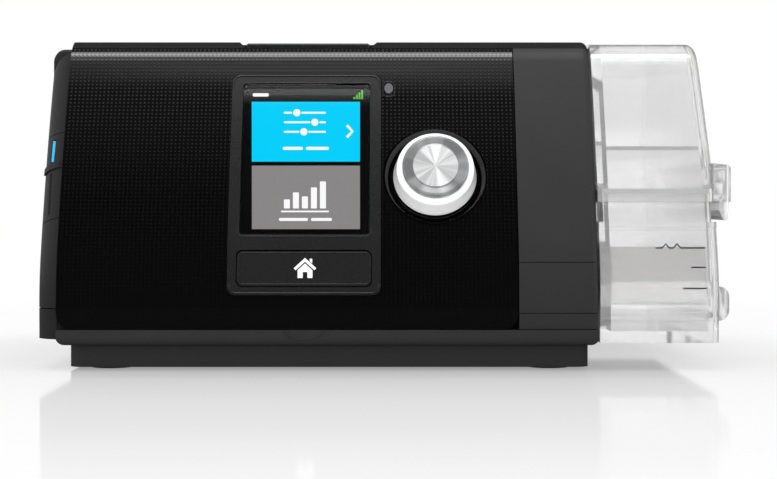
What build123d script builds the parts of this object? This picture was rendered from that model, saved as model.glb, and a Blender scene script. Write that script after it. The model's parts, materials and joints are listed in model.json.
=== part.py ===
from build123d import *
import math
import os

# Bedside CPAP machine with a heated humidifier tub. Millimetres, +Z up, +X towards the tub, -Y the front.
# The origin is at the bottom centre of the whole machine's box.

# Overall layout along X, from the left end to the latch lip of the tub
END_PANEL_W = 8.0
FASCIA_W = 132.8
SEAM = 0.3
DOCK_FRONT_W = 22.9
TUB_GAP = 0.5
TUB_SHOWN_W = 34.6
LATCH_PROUD = 5.9
WIDTH = END_PANEL_W + FASCIA_W + SEAM + DOCK_FRONT_W + TUB_GAP + TUB_SHOWN_W + LATCH_PROUD

# Overall layout along Y
LIP_PROUD = 0.8
BODY_DEPTH = 139.2
OUTLET_PROUD = 10.0
DEPTH = LIP_PROUD + BODY_DEPTH + OUTLET_PROUD

# Side profile: upright foot of the front, a lower bend, the slanted face, the crest, the roof, the back
HEIGHT = 97.4
BEND_START = 17.5
LOWER_R = 62.0
LOWER_TILT = 19.0
UPPER_TILT = 28.0
CREST_R = 12.0
TOP_FALL = 2.0
REAR_R = 22.0
CROWN_AHEAD = 7.2
EDGE_R = 2.0

# Walls and clearances
WALL = 2.2
FIT = 0.2
SLIDE_FIT = 0.3
TURN_FIT = 0.1
BUTTON_GAP = 0.35

# Bottom case
FOOT_H = 0.8
FOOT_R = 6.0
FOOT_INSET = 11.0
FOOT_SINK = 0.6
PLINTH_INSET_LEFT = 3.0
PLINTH_INSET_RIGHT = 2.4
PLINTH_INSET_FRONT = 4.2
PLINTH_INSET_BACK = 5.0
PLINTH_CORNER_R = 4.0
FLOOR_T = 2.0
LIP_LOW = 7.3
LIP_HIGH = 11.8
LIP_EDGE_R = 2.4
NOTCH_X = -23.2
NOTCH_W = 12.0
NOTCH_H = 6.4
NOTCH_DEEP = 0.7
SCREW_HEAD_R = 2.6
SCREW_HEAD_H = 1.6
SCREW_R = 1.4
SCREW_LEN = 12.5
BOSS_R = 3.4
BOSS_TOP = 18.0
BOSS_INSET_SIDE = 28.0
BOSS_INSET_FRONT = 7.8
BOSS_INSET_BACK = 15.0
RIB_INSET_LEFT = 38.5
RIB_INSET_RIGHT = 5.0

# Dock front: two split lines
SPLIT_LOW = 16.5
SPLIT_HIGH = 31.1
FASCIA_CORNER_R = 4.3

# Screen bezel with the screen window and the home button
BEZEL_LEFT_IN = 49.1
BEZEL_W = 44.2
BEZEL_LOW = 21.8
BEZEL_DROP = 10.7
BEZEL_RAISE = 0.8
BEZEL_BACK = 4.0
BEZEL_R = 2.5
BEZEL_FLANGE = 0.8
SCREEN_LOW = 39.0
SCREEN_HEAD = 3.0
SCREEN_SIDE = 3.2
SCREEN_R = 1.2
LENS_T = 1.2
LENS_SUNK = -0.3
LENS_GAP = 0.2
LCD_T = 6.0
LCD_MARGIN = 1.0
BOARD_T = 1.6
BOARD_LOW = 28.0
BOARD_DROP = 1.7
BOARD_RIGHT = 24.0
HOME_Z = 29.35
HOME_H = 10.2
HOME_SIDE = 2.6
HOME_R = 1.6
HOME_RAISE = 0.5
HOME_T = 4.1
HOME_TRAVEL = 0.6
SWITCH_R = 2.0
SWITCH_T = 1.3
SENSOR_X = 1.1
SENSOR_DROP = 15.0
SENSOR_W = 2.6
SENSOR_H = 3.4
SENSOR_T = 3.4

# Start button in its pocket in the crown
START_W = 37.4
START_X = -23.3
START_D = 13.0
START_DROP = 0.8
START_T = 3.4
START_TRAVEL = 0.8
START_CORNER_R = 0.9
START_EDGE_R = 0.8
POCKET_DEEP = 6.8
POCKET_FLOOR_T = 1.6
POCKET_BEVEL = 2.0
START_SWITCH_W = 6.0
LIGHT_W = 3.8
LIGHT_D = 1.6
LIGHT_SETBACK = 2.6

# Dial
DIAL_X = 14.6
DIAL_Z = 56.2
WELL_R = 15.0
WELL_RIM = 2.2
WELL_LAND = 0.4
WELL_DEEP = 1.6
WELL_T = 1.4
SKIRT_R = 12.2
SKIRT_TOP_R = 11.2
SKIRT_H = 6.6
SKIRT_WAIST = 0.1
SKIRT_RIM_R = 1.2
CAP_R = 9.6
CAP_H = 2.0
CAP_RIM_R = 0.8
CAP_DISC_R = 6.5
CAP_DISC_STEP = 0.5
CAP_DISC_SUNK = 0.35
DIAL_TRAVEL = 0.8
SHAFT_R = 3.6
PLUNGER_R = 1.6
PLUNGER_T = 1.0
ENCODER_W = 13.0
SHAFT_REACH = 1.4

# Left end: end panel, lower panel, filter cover, SD card
END_INSET = 2.2
END_FRONT_R = 9.3
END_TOP_R = 1.6
END_SIDE_W = 6.7
LOWER_PANEL_LOW = 8.9
LOWER_PANEL_HIGH = 17.6
COVER_START = 44.0
COVER_WALL = 1.8
COVER_RIB_T = 1.4
COVER_RIB_COUNT = 3
INTAKE_COUNT = 6
INTAKE_H = 2.4
INTAKE_PITCH = 5.2
INTAKE_L = 34.0
INTAKE_R = 1.1
FILTER_T = 4.6
FILTER_OUT = 2.7
FILTER_L = 66.0
FILTER_H = 44.0
FILTER_Z = 50.0
CARD_W = 24.0
CARD_L = 32.0
CARD_T = 2.1
CARD_DEPTH = 4.8
CARD_LOW_Z = 46.6
CARD_OUT = 1.1
CARD_TRAVEL = 1.0
READER_WALL = 1.0
FLAP_T = 1.4
FLAP_FRONT = 2.5
FLAP_REAR = 14.0
FLAP_OVER = 1.6
WINDOW_W = 1.2
WINDOW_LOW = 4.6
WINDOW_HIGH = 12.0
SLIT_W = 0.8
SLIT_LOW = -12.0
SLIT_HIGH = 1.0
RIDGE_LOW = 2.2
RIDGE_HIGH = 4.0
RIDGE_REAR = 9.0
RIDGE_PROUD = 0.5

# Dock sleeve and heater
DOCK_INSET = 12.2
DOCK_WALL = 2.2
DOCK_FLANGE = 1.8
DOCK_INNER_X = -13.4
DOCK_SEAT = 7.4
RUNNER_TOP = 8.7
HEATER_INNER_GAP = 10.0
HEATER_L = 50.0
HEATER_INSET_FRONT = 30.2
HEATER_INSET_BACK = 27.0
HEATER_T = 3.2
HEATER_FOIL_T = 0.4
WELL_WALL = 1.6

# Tub
TUB_INNER_GAP = 0.6
TUB_INNER_X = -9.5
TUB_WALL = 2.4
TUB_FLOOR_T = 2.2
TUB_LOW = 9.0
TUB_FLOAT = 7.9
BASE_RECESS = 0.9
FOOT_RECESS = 1.6
BAND_LOW = 14.7
BAND_HIGH = 20.2
RIB_COUNT = 3
RIB_PROUD = 0.6
RIB_T = 0.8
LEDGE_Z = 42.8
LEDGE_T = 1.6
NECK_RECESS = 1.6
NECK_T = 1.7
NECK_TOP = 51.0
SKIRT_LOW = 48.6
SKIRT_HIGH = 58.9
SKIRT_RECESS = 0.1
SKIRT_T = 1.3
LID_RECESS = 0.7
LID_T = 2.0
LID_LEAN = 3.0
TUB_CORNER_R = 3.0
SEAL_T = 1.2
BAFFLE_Z = 63.6
BAFFLE_T = 1.2
GRIP_LOW = 14.0
GRIP_HIGH = 24.0
GRIP_PROUD = 4.0
LATCH_FRONT = 6.0
LATCH_BACK = 112.0
LATCH_TOP = 59.8
LATCH_SHOULDER = 4.0
LATCH_SLOPE = 0.6
LATCH_SHOULDER_R = 2.0
LATCH_NOSE = 1.0
LATCH_BOW = 1.8
LATCH_CORNER_R = 3.0
HOOK_LOW = 43.3
HOOK_W = 3.3
HOOK_T = 1.2
HOOK_TAPER = 0.3
HOOK_ROOT = 2.5
PLATE_T = 0.8
PLATE_RIM = 2.5
PORT_R = 8.0
PORT_DROP = 31.4
PORT_OFFSET = 3.0
PORT_PITCH = 38.0
PORT_LIP = 2.5

# Blower
BLOWER_X = -55.0
BLOWER_GAP = 3.0
MOTOR_R = 15.0
MOTOR_TOP = 24.0
ROTOR_SHAFT_R = 1.5
VOLUTE_START_R = 25.0
VOLUTE_GROWTH = 8.0
VOLUTE_STEPS = 12
VOLUTE_WALL = 1.6
VOLUTE_FLOOR = 2.0
VOLUTE_SPLIT = 36.0
IMPELLER_R = 23.0
BACKPLATE_T = 1.2
HUB_R = 4.0
BLADE_COUNT = 9
BLADE_T = 1.2
BLADE_GAP = 0.8
BLADE_BEND_R = 17.25
EYE_R = 11.0
COLLAR_TOP = 44.0
SUSPENSION_T = 5.0
SUSPENSION_TOP = 12.0
SPOUT_LEN = 31.0
DUCT_T = 1.6
FOAM_DROP = 13.4
FOAM_LEFT = 6.5
FOAM_RIGHT = -42.0
FOAM_AHEAD = 24.0
FOAM_BEHIND = 32.0

# Rear
OUTLET_X = -27.0
OUTLET_Z = 56.0
OUTLET_R = 11.0
OUTLET_BORE_R = 9.2
OUTLET_LEN = 20.0
OUTLET_ROOM = 7.0
OUTLET_FLANGE_T = 2.0
CUP_WALL = 2.0
SPIGOT_LEN = 7.0
POWER_X = -75.0
POWER_Z = 28.0
POWER_W = 20.0
POWER_H = 14.0
POWER_D = 15.0
POWER_WALL = 1.6
POWER_CAVITY = 9.0
PIN_R = 0.9
CLIP_Z = 40.0
CLIP_R = 1.6
CLIP_ARM_T = 2.0
CLIP_T = 3.0
CLIP_DROP = 17.0
ADAPTER_X = -44.0
ADAPTER_Z = 27.0
ADAPTER_W = 24.0
ADAPTER_H = 12.0
ADAPTER_D = 9.0
ADAPTER_COVER_T = 1.6
VENT_COUNT = 7
VENT_W = 2.0
VENT_H = 16.0
VENT_PITCH = 5.0
VENT_X = 30.0
VENT_Z = 40.0

# Electronics
MAIN_BOARD_W = 40.0
MAIN_BOARD_LOW = 30.0
MAIN_BOARD_DROP = 13.4
MODULE_W = 26.0
MODULE_H = 22.0
MODULE_T = 2.4
FLOW_W = 12.0
FLOW_H = 8.0
FLOW_T = 5.0

# Places worked out from the sizes above
LEFT = -WIDTH / 2
BODY_LEFT = LEFT + END_PANEL_W
FASCIA_RIGHT = BODY_LEFT + FASCIA_W
DOCK_LEFT = FASCIA_RIGHT + SEAM
BODY_RIGHT = DOCK_LEFT + DOCK_FRONT_W
TUB_LEFT = BODY_RIGHT + TUB_GAP
TUB_RIGHT = TUB_LEFT + TUB_SHOWN_W
RIGHT = TUB_RIGHT + LATCH_PROUD
FRONT = -DEPTH / 2 + LIP_PROUD
BACK = FRONT + BODY_DEPTH
REAR = DEPTH / 2
SHELL_LOW = LIP_HIGH + FIT
FAR = 2 * WIDTH
DEEP = -HEIGHT
CARD_LEFT = BODY_LEFT - CARD_OUT
BEZEL_LEFT = BODY_LEFT + BEZEL_LEFT_IN
BEZEL_X = BEZEL_LEFT + BEZEL_W / 2
TUB_INSET = DOCK_INSET + DOCK_WALL + TUB_INNER_GAP
MAIN_BOARD_DEEP = CARD_DEPTH + CARD_T / 2 + READER_WALL + FIT
MAIN_BOARD_LEFT = BODY_LEFT + 2 * WALL
MAIN_BOARD_HIGH = HEIGHT - MAIN_BOARD_DROP
START_TOP = HEIGHT - START_DROP
POCKET_FLOOR = HEIGHT - POCKET_DEEP
BEZEL_HIGH = HEIGHT - BEZEL_DROP
SCREEN_HIGH = BEZEL_HIGH - SCREEN_HEAD
BOARD_HIGH = BEZEL_HIGH - BOARD_DROP
SENSOR_Z = HEIGHT - SENSOR_DROP
FITTING_BACK = BACK - WALL - FIT
VOLUTE_MID_R = VOLUTE_START_R + VOLUTE_GROWTH / 2
BLOWER_Y = FITTING_BACK - POWER_D - BLOWER_GAP - VOLUTE_MID_R - VOLUTE_WALL
FOAM_TOP = HEIGHT - FOAM_DROP
FOAM_FRONT = BLOWER_Y - FOAM_AHEAD
FOAM_BACK = BLOWER_Y + FOAM_BEHIND
PORT_Z = HEIGHT - PORT_DROP
INLET_PORT_Y = BLOWER_Y - VOLUTE_MID_R + PORT_OFFSET
OUTLET_PORT_Y = INLET_PORT_Y + PORT_PITCH
HEATER_FRONT = FRONT + HEATER_INSET_FRONT
HEATER_BACK = BACK - HEATER_INSET_BACK


def sind(angle):
    return math.sin(math.radians(angle))


def cosd(angle):
    return math.cos(math.radians(angle))


LOWER_END = BEND_START + LOWER_R * sind(LOWER_TILT)
CREST_START = HEIGHT - CREST_R * (1 - sind(UPPER_TILT))
UPPER_R = (CREST_START - LOWER_END) / (sind(UPPER_TILT) - sind(LOWER_TILT))
LOWER_RUN = LOWER_R * (1 - cosd(LOWER_TILT))
UPPER_RUN = UPPER_R * (cosd(LOWER_TILT) - cosd(UPPER_TILT))
CROWN_Y = FRONT + LOWER_RUN + UPPER_RUN + CREST_R * cosd(UPPER_TILT) - CROWN_AHEAD


# ---------------------------------------------------------------- shapes that every piece shares


def outline():
    """Side profile of the machine as a face in (y, z)."""
    front = Line((FRONT, DEEP), (FRONT, BEND_START))
    lower = JernArc(front @ 1, front % 1, LOWER_R, -LOWER_TILT)
    upper = JernArc(lower @ 1, lower % 1, UPPER_R, LOWER_TILT - UPPER_TILT)
    crest = JernArc(upper @ 1, upper % 1, CREST_R, UPPER_TILT - 90 - TOP_FALL)
    start = crest @ 1
    centre_y = BACK - REAR_R
    centre_z = start.Y + ((start.X - centre_y) * sind(TOP_FALL) - REAR_R) / cosd(TOP_FALL)
    roof = Line(start, (centre_y + REAR_R * sind(TOP_FALL), centre_z + REAR_R * cosd(TOP_FALL)))
    rear = JernArc(roof @ 1, roof % 1, REAR_R, TOP_FALL - 90)
    back = Line(rear @ 1, (BACK, DEEP))
    bottom = Line(back @ 1, front @ 0)
    return make_face(Curve() + [front, lower, upper, crest, roof, rear, back, bottom])


OUTLINE = outline()


def section(inset, low, high=FAR, front=-FAR, back=FAR):
    """The side profile, moved in by inset and kept between two heights and two depths."""
    face = offset(OUTLINE, -inset) if inset else OUTLINE
    window = Pos((front + back) / 2, (low + high) / 2) * Rectangle(back - front, high - low)
    return face & window


def prism(face, x0, x1):
    """A side profile drawn out along X."""
    return extrude(Plane.YZ.offset(x0) * face, amount=x1 - x0)


def block(x0, x1, y0, y1, z0, z1):
    centre = Pos((x0 + x1) / 2, (y0 + y1) / 2, (z0 + z1) / 2)
    return centre * Box(x1 - x0, y1 - y0, z1 - z0)


def rounded_block(x0, x1, y0, y1, z0, z1, radius):
    """An upright block with its four vertical corners rounded."""
    plan = RectangleRounded(x1 - x0, y1 - y0, radius)
    return extrude(Pos((x0 + x1) / 2, (y0 + y1) / 2, z0) * plan, amount=z1 - z0)


def front_plate(x0, x1, z0, z1, radius):
    """A rounded rectangle as seen from the front, drawn right through the machine along Y."""
    plan = RectangleRounded(x1 - x0, z1 - z0, radius)
    plane = Plane((x0 + x1) / 2 * X_AXIS + (z0 + z1) / 2 * Z_AXIS, x_dir=(1, 0, 0), z_dir=(0, -1, 0))
    return extrude(plane * plan, amount=FAR, both=True)


X_AXIS = Vector(1, 0, 0)
Z_AXIS = Vector(0, 0, 1)


def upright(x, y, z0, z1, radius):
    return Pos(x, y, (z0 + z1) / 2) * Cylinder(radius, z1 - z0)


def along(plane, radius, low, high):
    """A cylinder about the plane's normal, between two heights over the plane."""
    return extrude(plane.offset(low) * Circle(radius), amount=high - low)


def ring(plane, outer, inner, low, high):
    return extrude(plane.offset(low) * (Circle(outer) - Circle(inner)), amount=high - low)


def face_tilt(z):
    """Lean of the front face from the upright, in degrees, at height z."""
    if z <= BEND_START:
        return 0.0
    if z <= LOWER_END:
        return math.degrees(math.asin((z - BEND_START) / LOWER_R))
    return math.degrees(math.asin(sind(LOWER_TILT) + (z - LOWER_END) / UPPER_R))


def face_y(z):
    """Place of the front face at height z."""
    tilt = face_tilt(z)
    if z <= LOWER_END:
        return FRONT + LOWER_R * (1 - cosd(tilt))
    return FRONT + LOWER_RUN + UPPER_R * (cosd(LOWER_TILT) - cosd(tilt))


def lean_plane(x, z, y, tilt):
    """A plane across the front, its normal pointing out and up by tilt, its x along +X."""
    return Plane(Vector(x, y, z), x_dir=(1, 0, 0), z_dir=(0, -cosd(tilt), sind(tilt)))


def face_plane(x, z):
    return lean_plane(x, z, face_y(z), face_tilt(z))


def chord_plane(x, z_low, z_high):
    """The plane through two heights of the front face, with its origin midway."""
    rise = z_high - z_low
    run = face_y(z_high) - face_y(z_low)
    tilt = math.degrees(math.atan2(run, rise))
    return lean_plane(x, (z_low + z_high) / 2, (face_y(z_low) + face_y(z_high)) / 2, tilt)


SCREEN_PLANE = chord_plane(BEZEL_X, SCREEN_LOW, SCREEN_HIGH)
SCREEN_W = BEZEL_W - 2 * SCREEN_SIDE
SCREEN_H = math.dist((face_y(SCREEN_LOW), SCREEN_LOW), (face_y(SCREEN_HIGH), SCREEN_HIGH))
LCD_DEEP = LENS_SUNK + LENS_T + LENS_GAP
BOARD_DEEP = LCD_DEEP + LCD_T + FIT
HOME_PLANE = face_plane(BEZEL_X, HOME_Z)
DIAL_PLANE = face_plane(DIAL_X, DIAL_Z)
CARD_SPAN = CARD_W * cosd(face_tilt(CARD_LOW_Z + CARD_W / 2))
CARD_PLANE = chord_plane(0, CARD_LOW_Z, CARD_LOW_Z + CARD_SPAN)


def screen_height(z):
    """Distance up the screen plane from its origin to the height z."""
    return (z - SCREEN_PLANE.origin.Z) / SCREEN_PLANE.y_dir.Z


# ---------------------------------------------------------------- outer shells


def rounded_end(inset, x0, x1, radius):
    """The full side profile drawn from x0 to x1, with the edge round its x1 end rounded."""
    slab = prism(section(inset, DEEP / 2), min(x0, x1), max(x0, x1))
    end = slab.faces().sort_by(Axis.X)[-1 if x1 > x0 else 0]
    return fillet(end.edges().filter_by(lambda edge: edge.center().Z > DEEP / 2 + WALL), radius)


BLANK = rounded_end(0, BODY_LEFT, BODY_RIGHT, EDGE_R) & block(-FAR, FAR, -FAR, FAR, SHELL_LOW, FAR)
HOLLOW = prism(section(WALL, DEEP), BODY_LEFT - WALL, BODY_RIGHT + WALL)
SHELL = BLANK - HOLLOW

PLINTH_LEFT = BODY_LEFT + PLINTH_INSET_LEFT
PLINTH_RIGHT = BODY_RIGHT - PLINTH_INSET_RIGHT
PLINTH_FRONT = FRONT + PLINTH_INSET_FRONT
PLINTH_BACK = BACK - PLINTH_INSET_BACK
FLOOR_TOP = FOOT_H + FLOOR_T
SCREW_SPOTS = [
    (BODY_LEFT + BOSS_INSET_SIDE, BACK - BOSS_INSET_BACK),
    (OUTLET_X + BOSS_R, BACK - BOSS_INSET_BACK),
    (BODY_LEFT + BOSS_INSET_SIDE, FRONT + BOSS_INSET_FRONT),
    (FASCIA_RIGHT - BOSS_INSET_SIDE / 2, FRONT + BOSS_INSET_FRONT),
]


def foot_spots():
    xs = (PLINTH_LEFT + FOOT_INSET, PLINTH_RIGHT - FOOT_INSET)
    ys = (PLINTH_FRONT + FOOT_INSET, PLINTH_BACK - FOOT_INSET)
    return [(x, y) for x in xs for y in ys]


def bottom_case():
    plinth = rounded_block(
        PLINTH_LEFT, PLINTH_RIGHT, PLINTH_FRONT, PLINTH_BACK, FOOT_H, LIP_LOW, PLINTH_CORNER_R
    )
    lip = prism(section(-LIP_PROUD, LIP_LOW, LIP_HIGH), BODY_LEFT, BODY_RIGHT)
    lip = fillet(lip.faces().sort_by(Axis.Z)[0].edges(), LIP_EDGE_R)
    notch_plane = Plane((NOTCH_X, FRONT - LIP_PROUD, LIP_HIGH), x_dir=(1, 0, 0), z_dir=(0, 1, 0))
    lip -= extrude(notch_plane * Ellipse(NOTCH_W / 2, NOTCH_H / 2), amount=NOTCH_DEEP)
    case = plinth + lip
    case -= rounded_block(
        PLINTH_LEFT + WALL,
        PLINTH_RIGHT - WALL,
        PLINTH_FRONT + WALL,
        PLINTH_BACK - WALL,
        FLOOR_TOP,
        LIP_HIGH + WALL,
        PLINTH_CORNER_R - WALL / 2,
    )
    dock_way = section(DOCK_INSET - FIT, DOCK_SEAT - TURN_FIT)
    case -= prism(dock_way, PLINTH_RIGHT - 2 * WALL, BODY_RIGHT + WALL)
    for x, y in foot_spots():
        case -= upright(x, y, FOOT_H - WALL, FOOT_H + FOOT_SINK, FOOT_R + TURN_FIT)
    for x, y in SCREW_SPOTS:
        case += upright(x, y, FLOOR_TOP - FIT, LIP_HIGH, BOSS_R)
        case -= upright(x, y, 0, LIP_HIGH + WALL, SCREW_R + TURN_FIT)
        case -= upright(x, y, 0, FOOT_H + SCREW_HEAD_H, SCREW_HEAD_R + TURN_FIT)
    return case


def rubber_feet():
    return [upright(x, y, 0, FOOT_H + FOOT_SINK, FOOT_R) for x, y in foot_spots()]


def case_screws():
    return [
        upright(x, y, FOOT_H, FOOT_H + SCREW_HEAD_H, SCREW_HEAD_R)
        + upright(x, y, FOOT_H + SCREW_HEAD_H, FOOT_H + SCREW_LEN, SCREW_R)
        for x, y in SCREW_SPOTS
    ]


def screw_boss(spot, top, wall_y):
    """A hollow post over a case screw, with a rib to the wall in front or behind."""
    x, y = spot
    post = upright(x, y, SHELL_LOW, top, BOSS_R)
    rib = block(x - WALL / 3, x + WALL / 3, min(y, wall_y), max(y, wall_y), SHELL_LOW, top)
    return post + rib - upright(x, y, 0, FOOT_H + SCREW_LEN + FIT, SCREW_R + TURN_FIT)


def start_pocket(grow=0.0):
    """Bevelled pocket in the crown that the start button stands in."""
    half = START_W / 2 + BUTTON_GAP
    x0, x1 = START_X - half, START_X + half
    well = block(x0, x1, CROWN_Y - WALL, CROWN_Y + START_D + 2 * BUTTON_GAP, POCKET_FLOOR, FAR)
    profile = Polyline(
        (x0, HEIGHT - POCKET_BEVEL - grow),
        (x0 - POCKET_BEVEL, HEIGHT),
        (x1 + POCKET_BEVEL, HEIGHT),
        (x1, HEIGHT - POCKET_BEVEL - grow),
        close=True,
    )
    plane = Plane((0, CROWN_Y - WALL, 0), x_dir=(1, 0, 0), z_dir=(0, -1, 0))
    return well + extrude(plane * make_face(profile), amount=-(START_D + WALL + 2 * BUTTON_GAP))


def rear_housing():
    """Crown strip, roof, back and left wall in one moulding."""
    region = block(BODY_LEFT - WALL, BODY_RIGHT + WALL, CROWN_Y + FIT, BACK + WALL, 0, FAR)
    housing = SHELL & region
    housing += prism(section(0, SHELL_LOW, FAR, CROWN_Y + FIT), BODY_LEFT, BODY_LEFT + WALL)
    housing += prism(section(WALL + FIT, SHELL_LOW, FAR, -FAR, CROWN_Y + WALL), BODY_LEFT, BODY_LEFT + WALL)
    half = START_W / 2 + 2 * POCKET_BEVEL
    well_back = CROWN_Y + START_D + 2 * BUTTON_GAP + WALL
    pocket_wall = section(0, POCKET_FLOOR - POCKET_FLOOR_T, FAR, CROWN_Y + FIT, well_back)
    housing += prism(pocket_wall, START_X - half, START_X + half)
    housing -= start_pocket()
    cup = along(OUTLET_PLANE, OUTLET_R + OUTLET_ROOM + CUP_WALL, -OUTLET_CUP_D - CUP_WALL, WALL)
    housing += cup & prism(section(0, SHELL_LOW), BODY_LEFT, BODY_RIGHT)
    housing -= along(OUTLET_PLANE, OUTLET_R + OUTLET_ROOM, -OUTLET_CUP_D, FAR)
    housing -= along(OUTLET_PLANE, OUTLET_BORE_R + DUCT_T + FIT, -OUTLET_CUP_D - 2 * CUP_WALL, 0)
    housing = housing - filter_window(FIT) - card_slot()
    housing -= block(
        POWER_X - POWER_W / 2 + POWER_WALL,
        POWER_X + POWER_W / 2 - POWER_WALL,
        BACK - 2 * WALL,
        BACK + WALL,
        POWER_Z - POWER_H / 2 + POWER_WALL,
        POWER_Z + POWER_H / 2 - POWER_WALL,
    )
    housing -= adapter_window(FIT)
    for i in range(VENT_COUNT):
        x = VENT_X + (i - (VENT_COUNT - 1) / 2) * VENT_PITCH
        housing -= vent_slot(x)
    for side in (-1, 1):
        x = POWER_X + side * (POWER_W / 2 + CLIP_ARM_T)
        ear = block(
            x - CLIP_ARM_T / 2,
            x + CLIP_ARM_T / 2,
            BACK - WALL / 2,
            CLIP_Y + CLIP_R,
            CLIP_Z - CLIP_T,
            CLIP_Z + CLIP_T,
        )
        housing += ear - along(clip_axis(x), CLIP_R / 2 + TURN_FIT, -CLIP_ARM_T, CLIP_ARM_T)
    for spot in SCREW_SPOTS[:2]:
        housing += screw_boss(spot, BOSS_TOP, BACK - WALL / 2)
    return housing


def vent_slot(x):
    """An upright slot with round ends through the back wall."""
    plane = Plane((x, BACK + WALL, VENT_Z + VENT_H / 2), x_dir=(0, 0, 1), z_dir=(0, -1, 0))
    return extrude(plane * SlotOverall(VENT_H, VENT_W), amount=3 * WALL)


OUTLET_CUP_D = OUTLET_LEN - OUTLET_PROUD
OUTLET_PLANE = Plane((OUTLET_X, BACK, OUTLET_Z), x_dir=(-1, 0, 0), z_dir=(0, 1, 0))
CLIP_Y = BACK + CLIP_R + 2 * FIT


def clip_axis(x):
    return Plane((x, CLIP_Y, CLIP_Z), x_dir=(0, 1, 0), z_dir=(1, 0, 0))


def front_fascia():
    """Thin glossy shell over the whole slanted front, left of the dock."""
    region = front_plate(BODY_LEFT, FASCIA_RIGHT, SHELL_LOW, 2 * HEIGHT, FASCIA_CORNER_R)
    region = region & block(BODY_LEFT, FASCIA_RIGHT, -FAR, CROWN_Y, 0, FAR)
    fascia = SHELL & region
    fascia -= front_plate(
        BEZEL_LEFT - FIT, BEZEL_LEFT + BEZEL_W + FIT, BEZEL_LOW - FIT, BEZEL_HIGH + FIT, BEZEL_R + FIT
    )
    fascia -= along(DIAL_PLANE, WELL_R + FIT, -3 * WALL, 3 * WALL)
    fascia -= sensor_window(FIT)
    for spot in SCREW_SPOTS[2:]:
        fascia += screw_boss(spot, BOSS_TOP, FRONT + WALL / 2)
    for x in (BODY_LEFT + RIB_INSET_LEFT, FASCIA_RIGHT - RIB_INSET_RIGHT):
        rib = prism(section(WALL / 2, SHELL_LOW + WALL) - section(2 * WALL, 0), x - WALL / 3, x + WALL / 3)
        fascia += rib & block(-FAR, FAR, -FAR, CROWN_Y, 0, CREST_START)
    return fascia


def dock_piece(low, high):
    return SHELL & block(DOCK_LEFT, BODY_RIGHT, -FAR, CROWN_Y, low, high)


def dock_front_cover():
    return dock_piece(SPLIT_HIGH + FIT, FAR)


def dock_strip():
    return dock_piece(SPLIT_LOW + FIT, SPLIT_HIGH)


def dock_lower_trim():
    return dock_piece(SHELL_LOW, SPLIT_LOW)


# ---------------------------------------------------------------- screen, home button and light sensor


def screen_bezel():
    plate = front_plate(BEZEL_LEFT, BEZEL_LEFT + BEZEL_W, BEZEL_LOW, BEZEL_HIGH, BEZEL_R)
    flange = front_plate(
        BEZEL_LEFT - BEZEL_FLANGE,
        BEZEL_LEFT + BEZEL_W + BEZEL_FLANGE,
        BEZEL_LOW - BEZEL_FLANGE,
        BEZEL_HIGH + BEZEL_FLANGE,
        BEZEL_R + BEZEL_FLANGE,
    )
    front_half = block(-FAR, FAR, -FAR, CROWN_Y, 0, FAR)
    x0, x1 = BEZEL_LEFT - WALL, BEZEL_LEFT + BEZEL_W + WALL
    skin = prism(section(-BEZEL_RAISE, 0) - section(BEZEL_BACK, 0), x0, x1)
    under = prism(section(WALL + FIT / 2, 0) - section(BEZEL_BACK, 0), x0, x1)
    bezel = (plate & skin & front_half) + (flange & under & front_half)
    screen_hole = SCREEN_PLANE.offset(-3 * BEZEL_BACK) * RectangleRounded(SCREEN_W, SCREEN_H, SCREEN_R)
    bezel -= extrude(screen_hole, amount=6 * BEZEL_BACK)
    gap = 2 * BUTTON_GAP
    home_hole = RectangleRounded(home_width() + gap, HOME_H + gap, HOME_R + BUTTON_GAP)
    return bezel - extrude(HOME_PLANE.offset(-3 * BEZEL_BACK) * home_hole, amount=6 * BEZEL_BACK)


def screen_slab(width, height, radius, top, thick):
    """A flat piece in the screen window, its face top below the screen plane."""
    return extrude(SCREEN_PLANE.offset(-top) * RectangleRounded(width, height, radius), amount=-thick)


def screen_lens():
    return screen_slab(SCREEN_W - TURN_FIT, SCREEN_H - TURN_FIT, SCREEN_R, LENS_SUNK, LENS_T)


def lcd_module():
    width, height = SCREEN_W - LCD_MARGIN, SCREEN_H - LCD_MARGIN
    return screen_slab(width, height, SCREEN_R, LCD_DEEP, LCD_T)


def home_width():
    return BEZEL_W - 2 * SCREEN_SIDE + HOME_SIDE / 4


def home_button():
    faces = section(-HOME_RAISE, 0) - section(HOME_T - HOME_RAISE, 0)
    skin = prism(faces, BEZEL_LEFT, BEZEL_LEFT + BEZEL_W)
    plan = RectangleRounded(home_width(), HOME_H, HOME_R)
    return skin & extrude(HOME_PLANE.offset(-BEZEL_BACK) * plan, amount=2 * BEZEL_BACK)


def display_board():
    low, high = screen_height(BOARD_LOW), screen_height(BOARD_HIGH)
    left, right = -BEZEL_W / 2, BOARD_RIGHT - BEZEL_X
    plan = Pos((left + right) / 2, (low + high) / 2) * Rectangle(right - left, high - low)
    return extrude(SCREEN_PLANE.offset(-BOARD_DEEP) * plan, amount=-BOARD_T)


def home_switch():
    under_button = SCREEN_PLANE.to_local_coords(HOME_PLANE.offset(-BEZEL_BACK).origin)
    spot = SCREEN_PLANE.offset(-BOARD_DEEP) * Pos(0, under_button.Y)
    return extrude(spot * Circle(SWITCH_R), amount=SWITCH_T)


def sensor_outline(grow):
    return face_plane(SENSOR_X, SENSOR_Z), Ellipse(SENSOR_W / 2 + grow, SENSOR_H / 2 + grow)


def sensor_window(grow):
    plane, shape = sensor_outline(grow)
    return extrude(plane.offset(-3 * WALL) * shape, amount=6 * WALL)


def light_sensor():
    plane, shape = sensor_outline(0)
    return extrude(plane.offset(-SENSOR_T) * shape, amount=SENSOR_T + FIT)


# ---------------------------------------------------------------- start button


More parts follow.
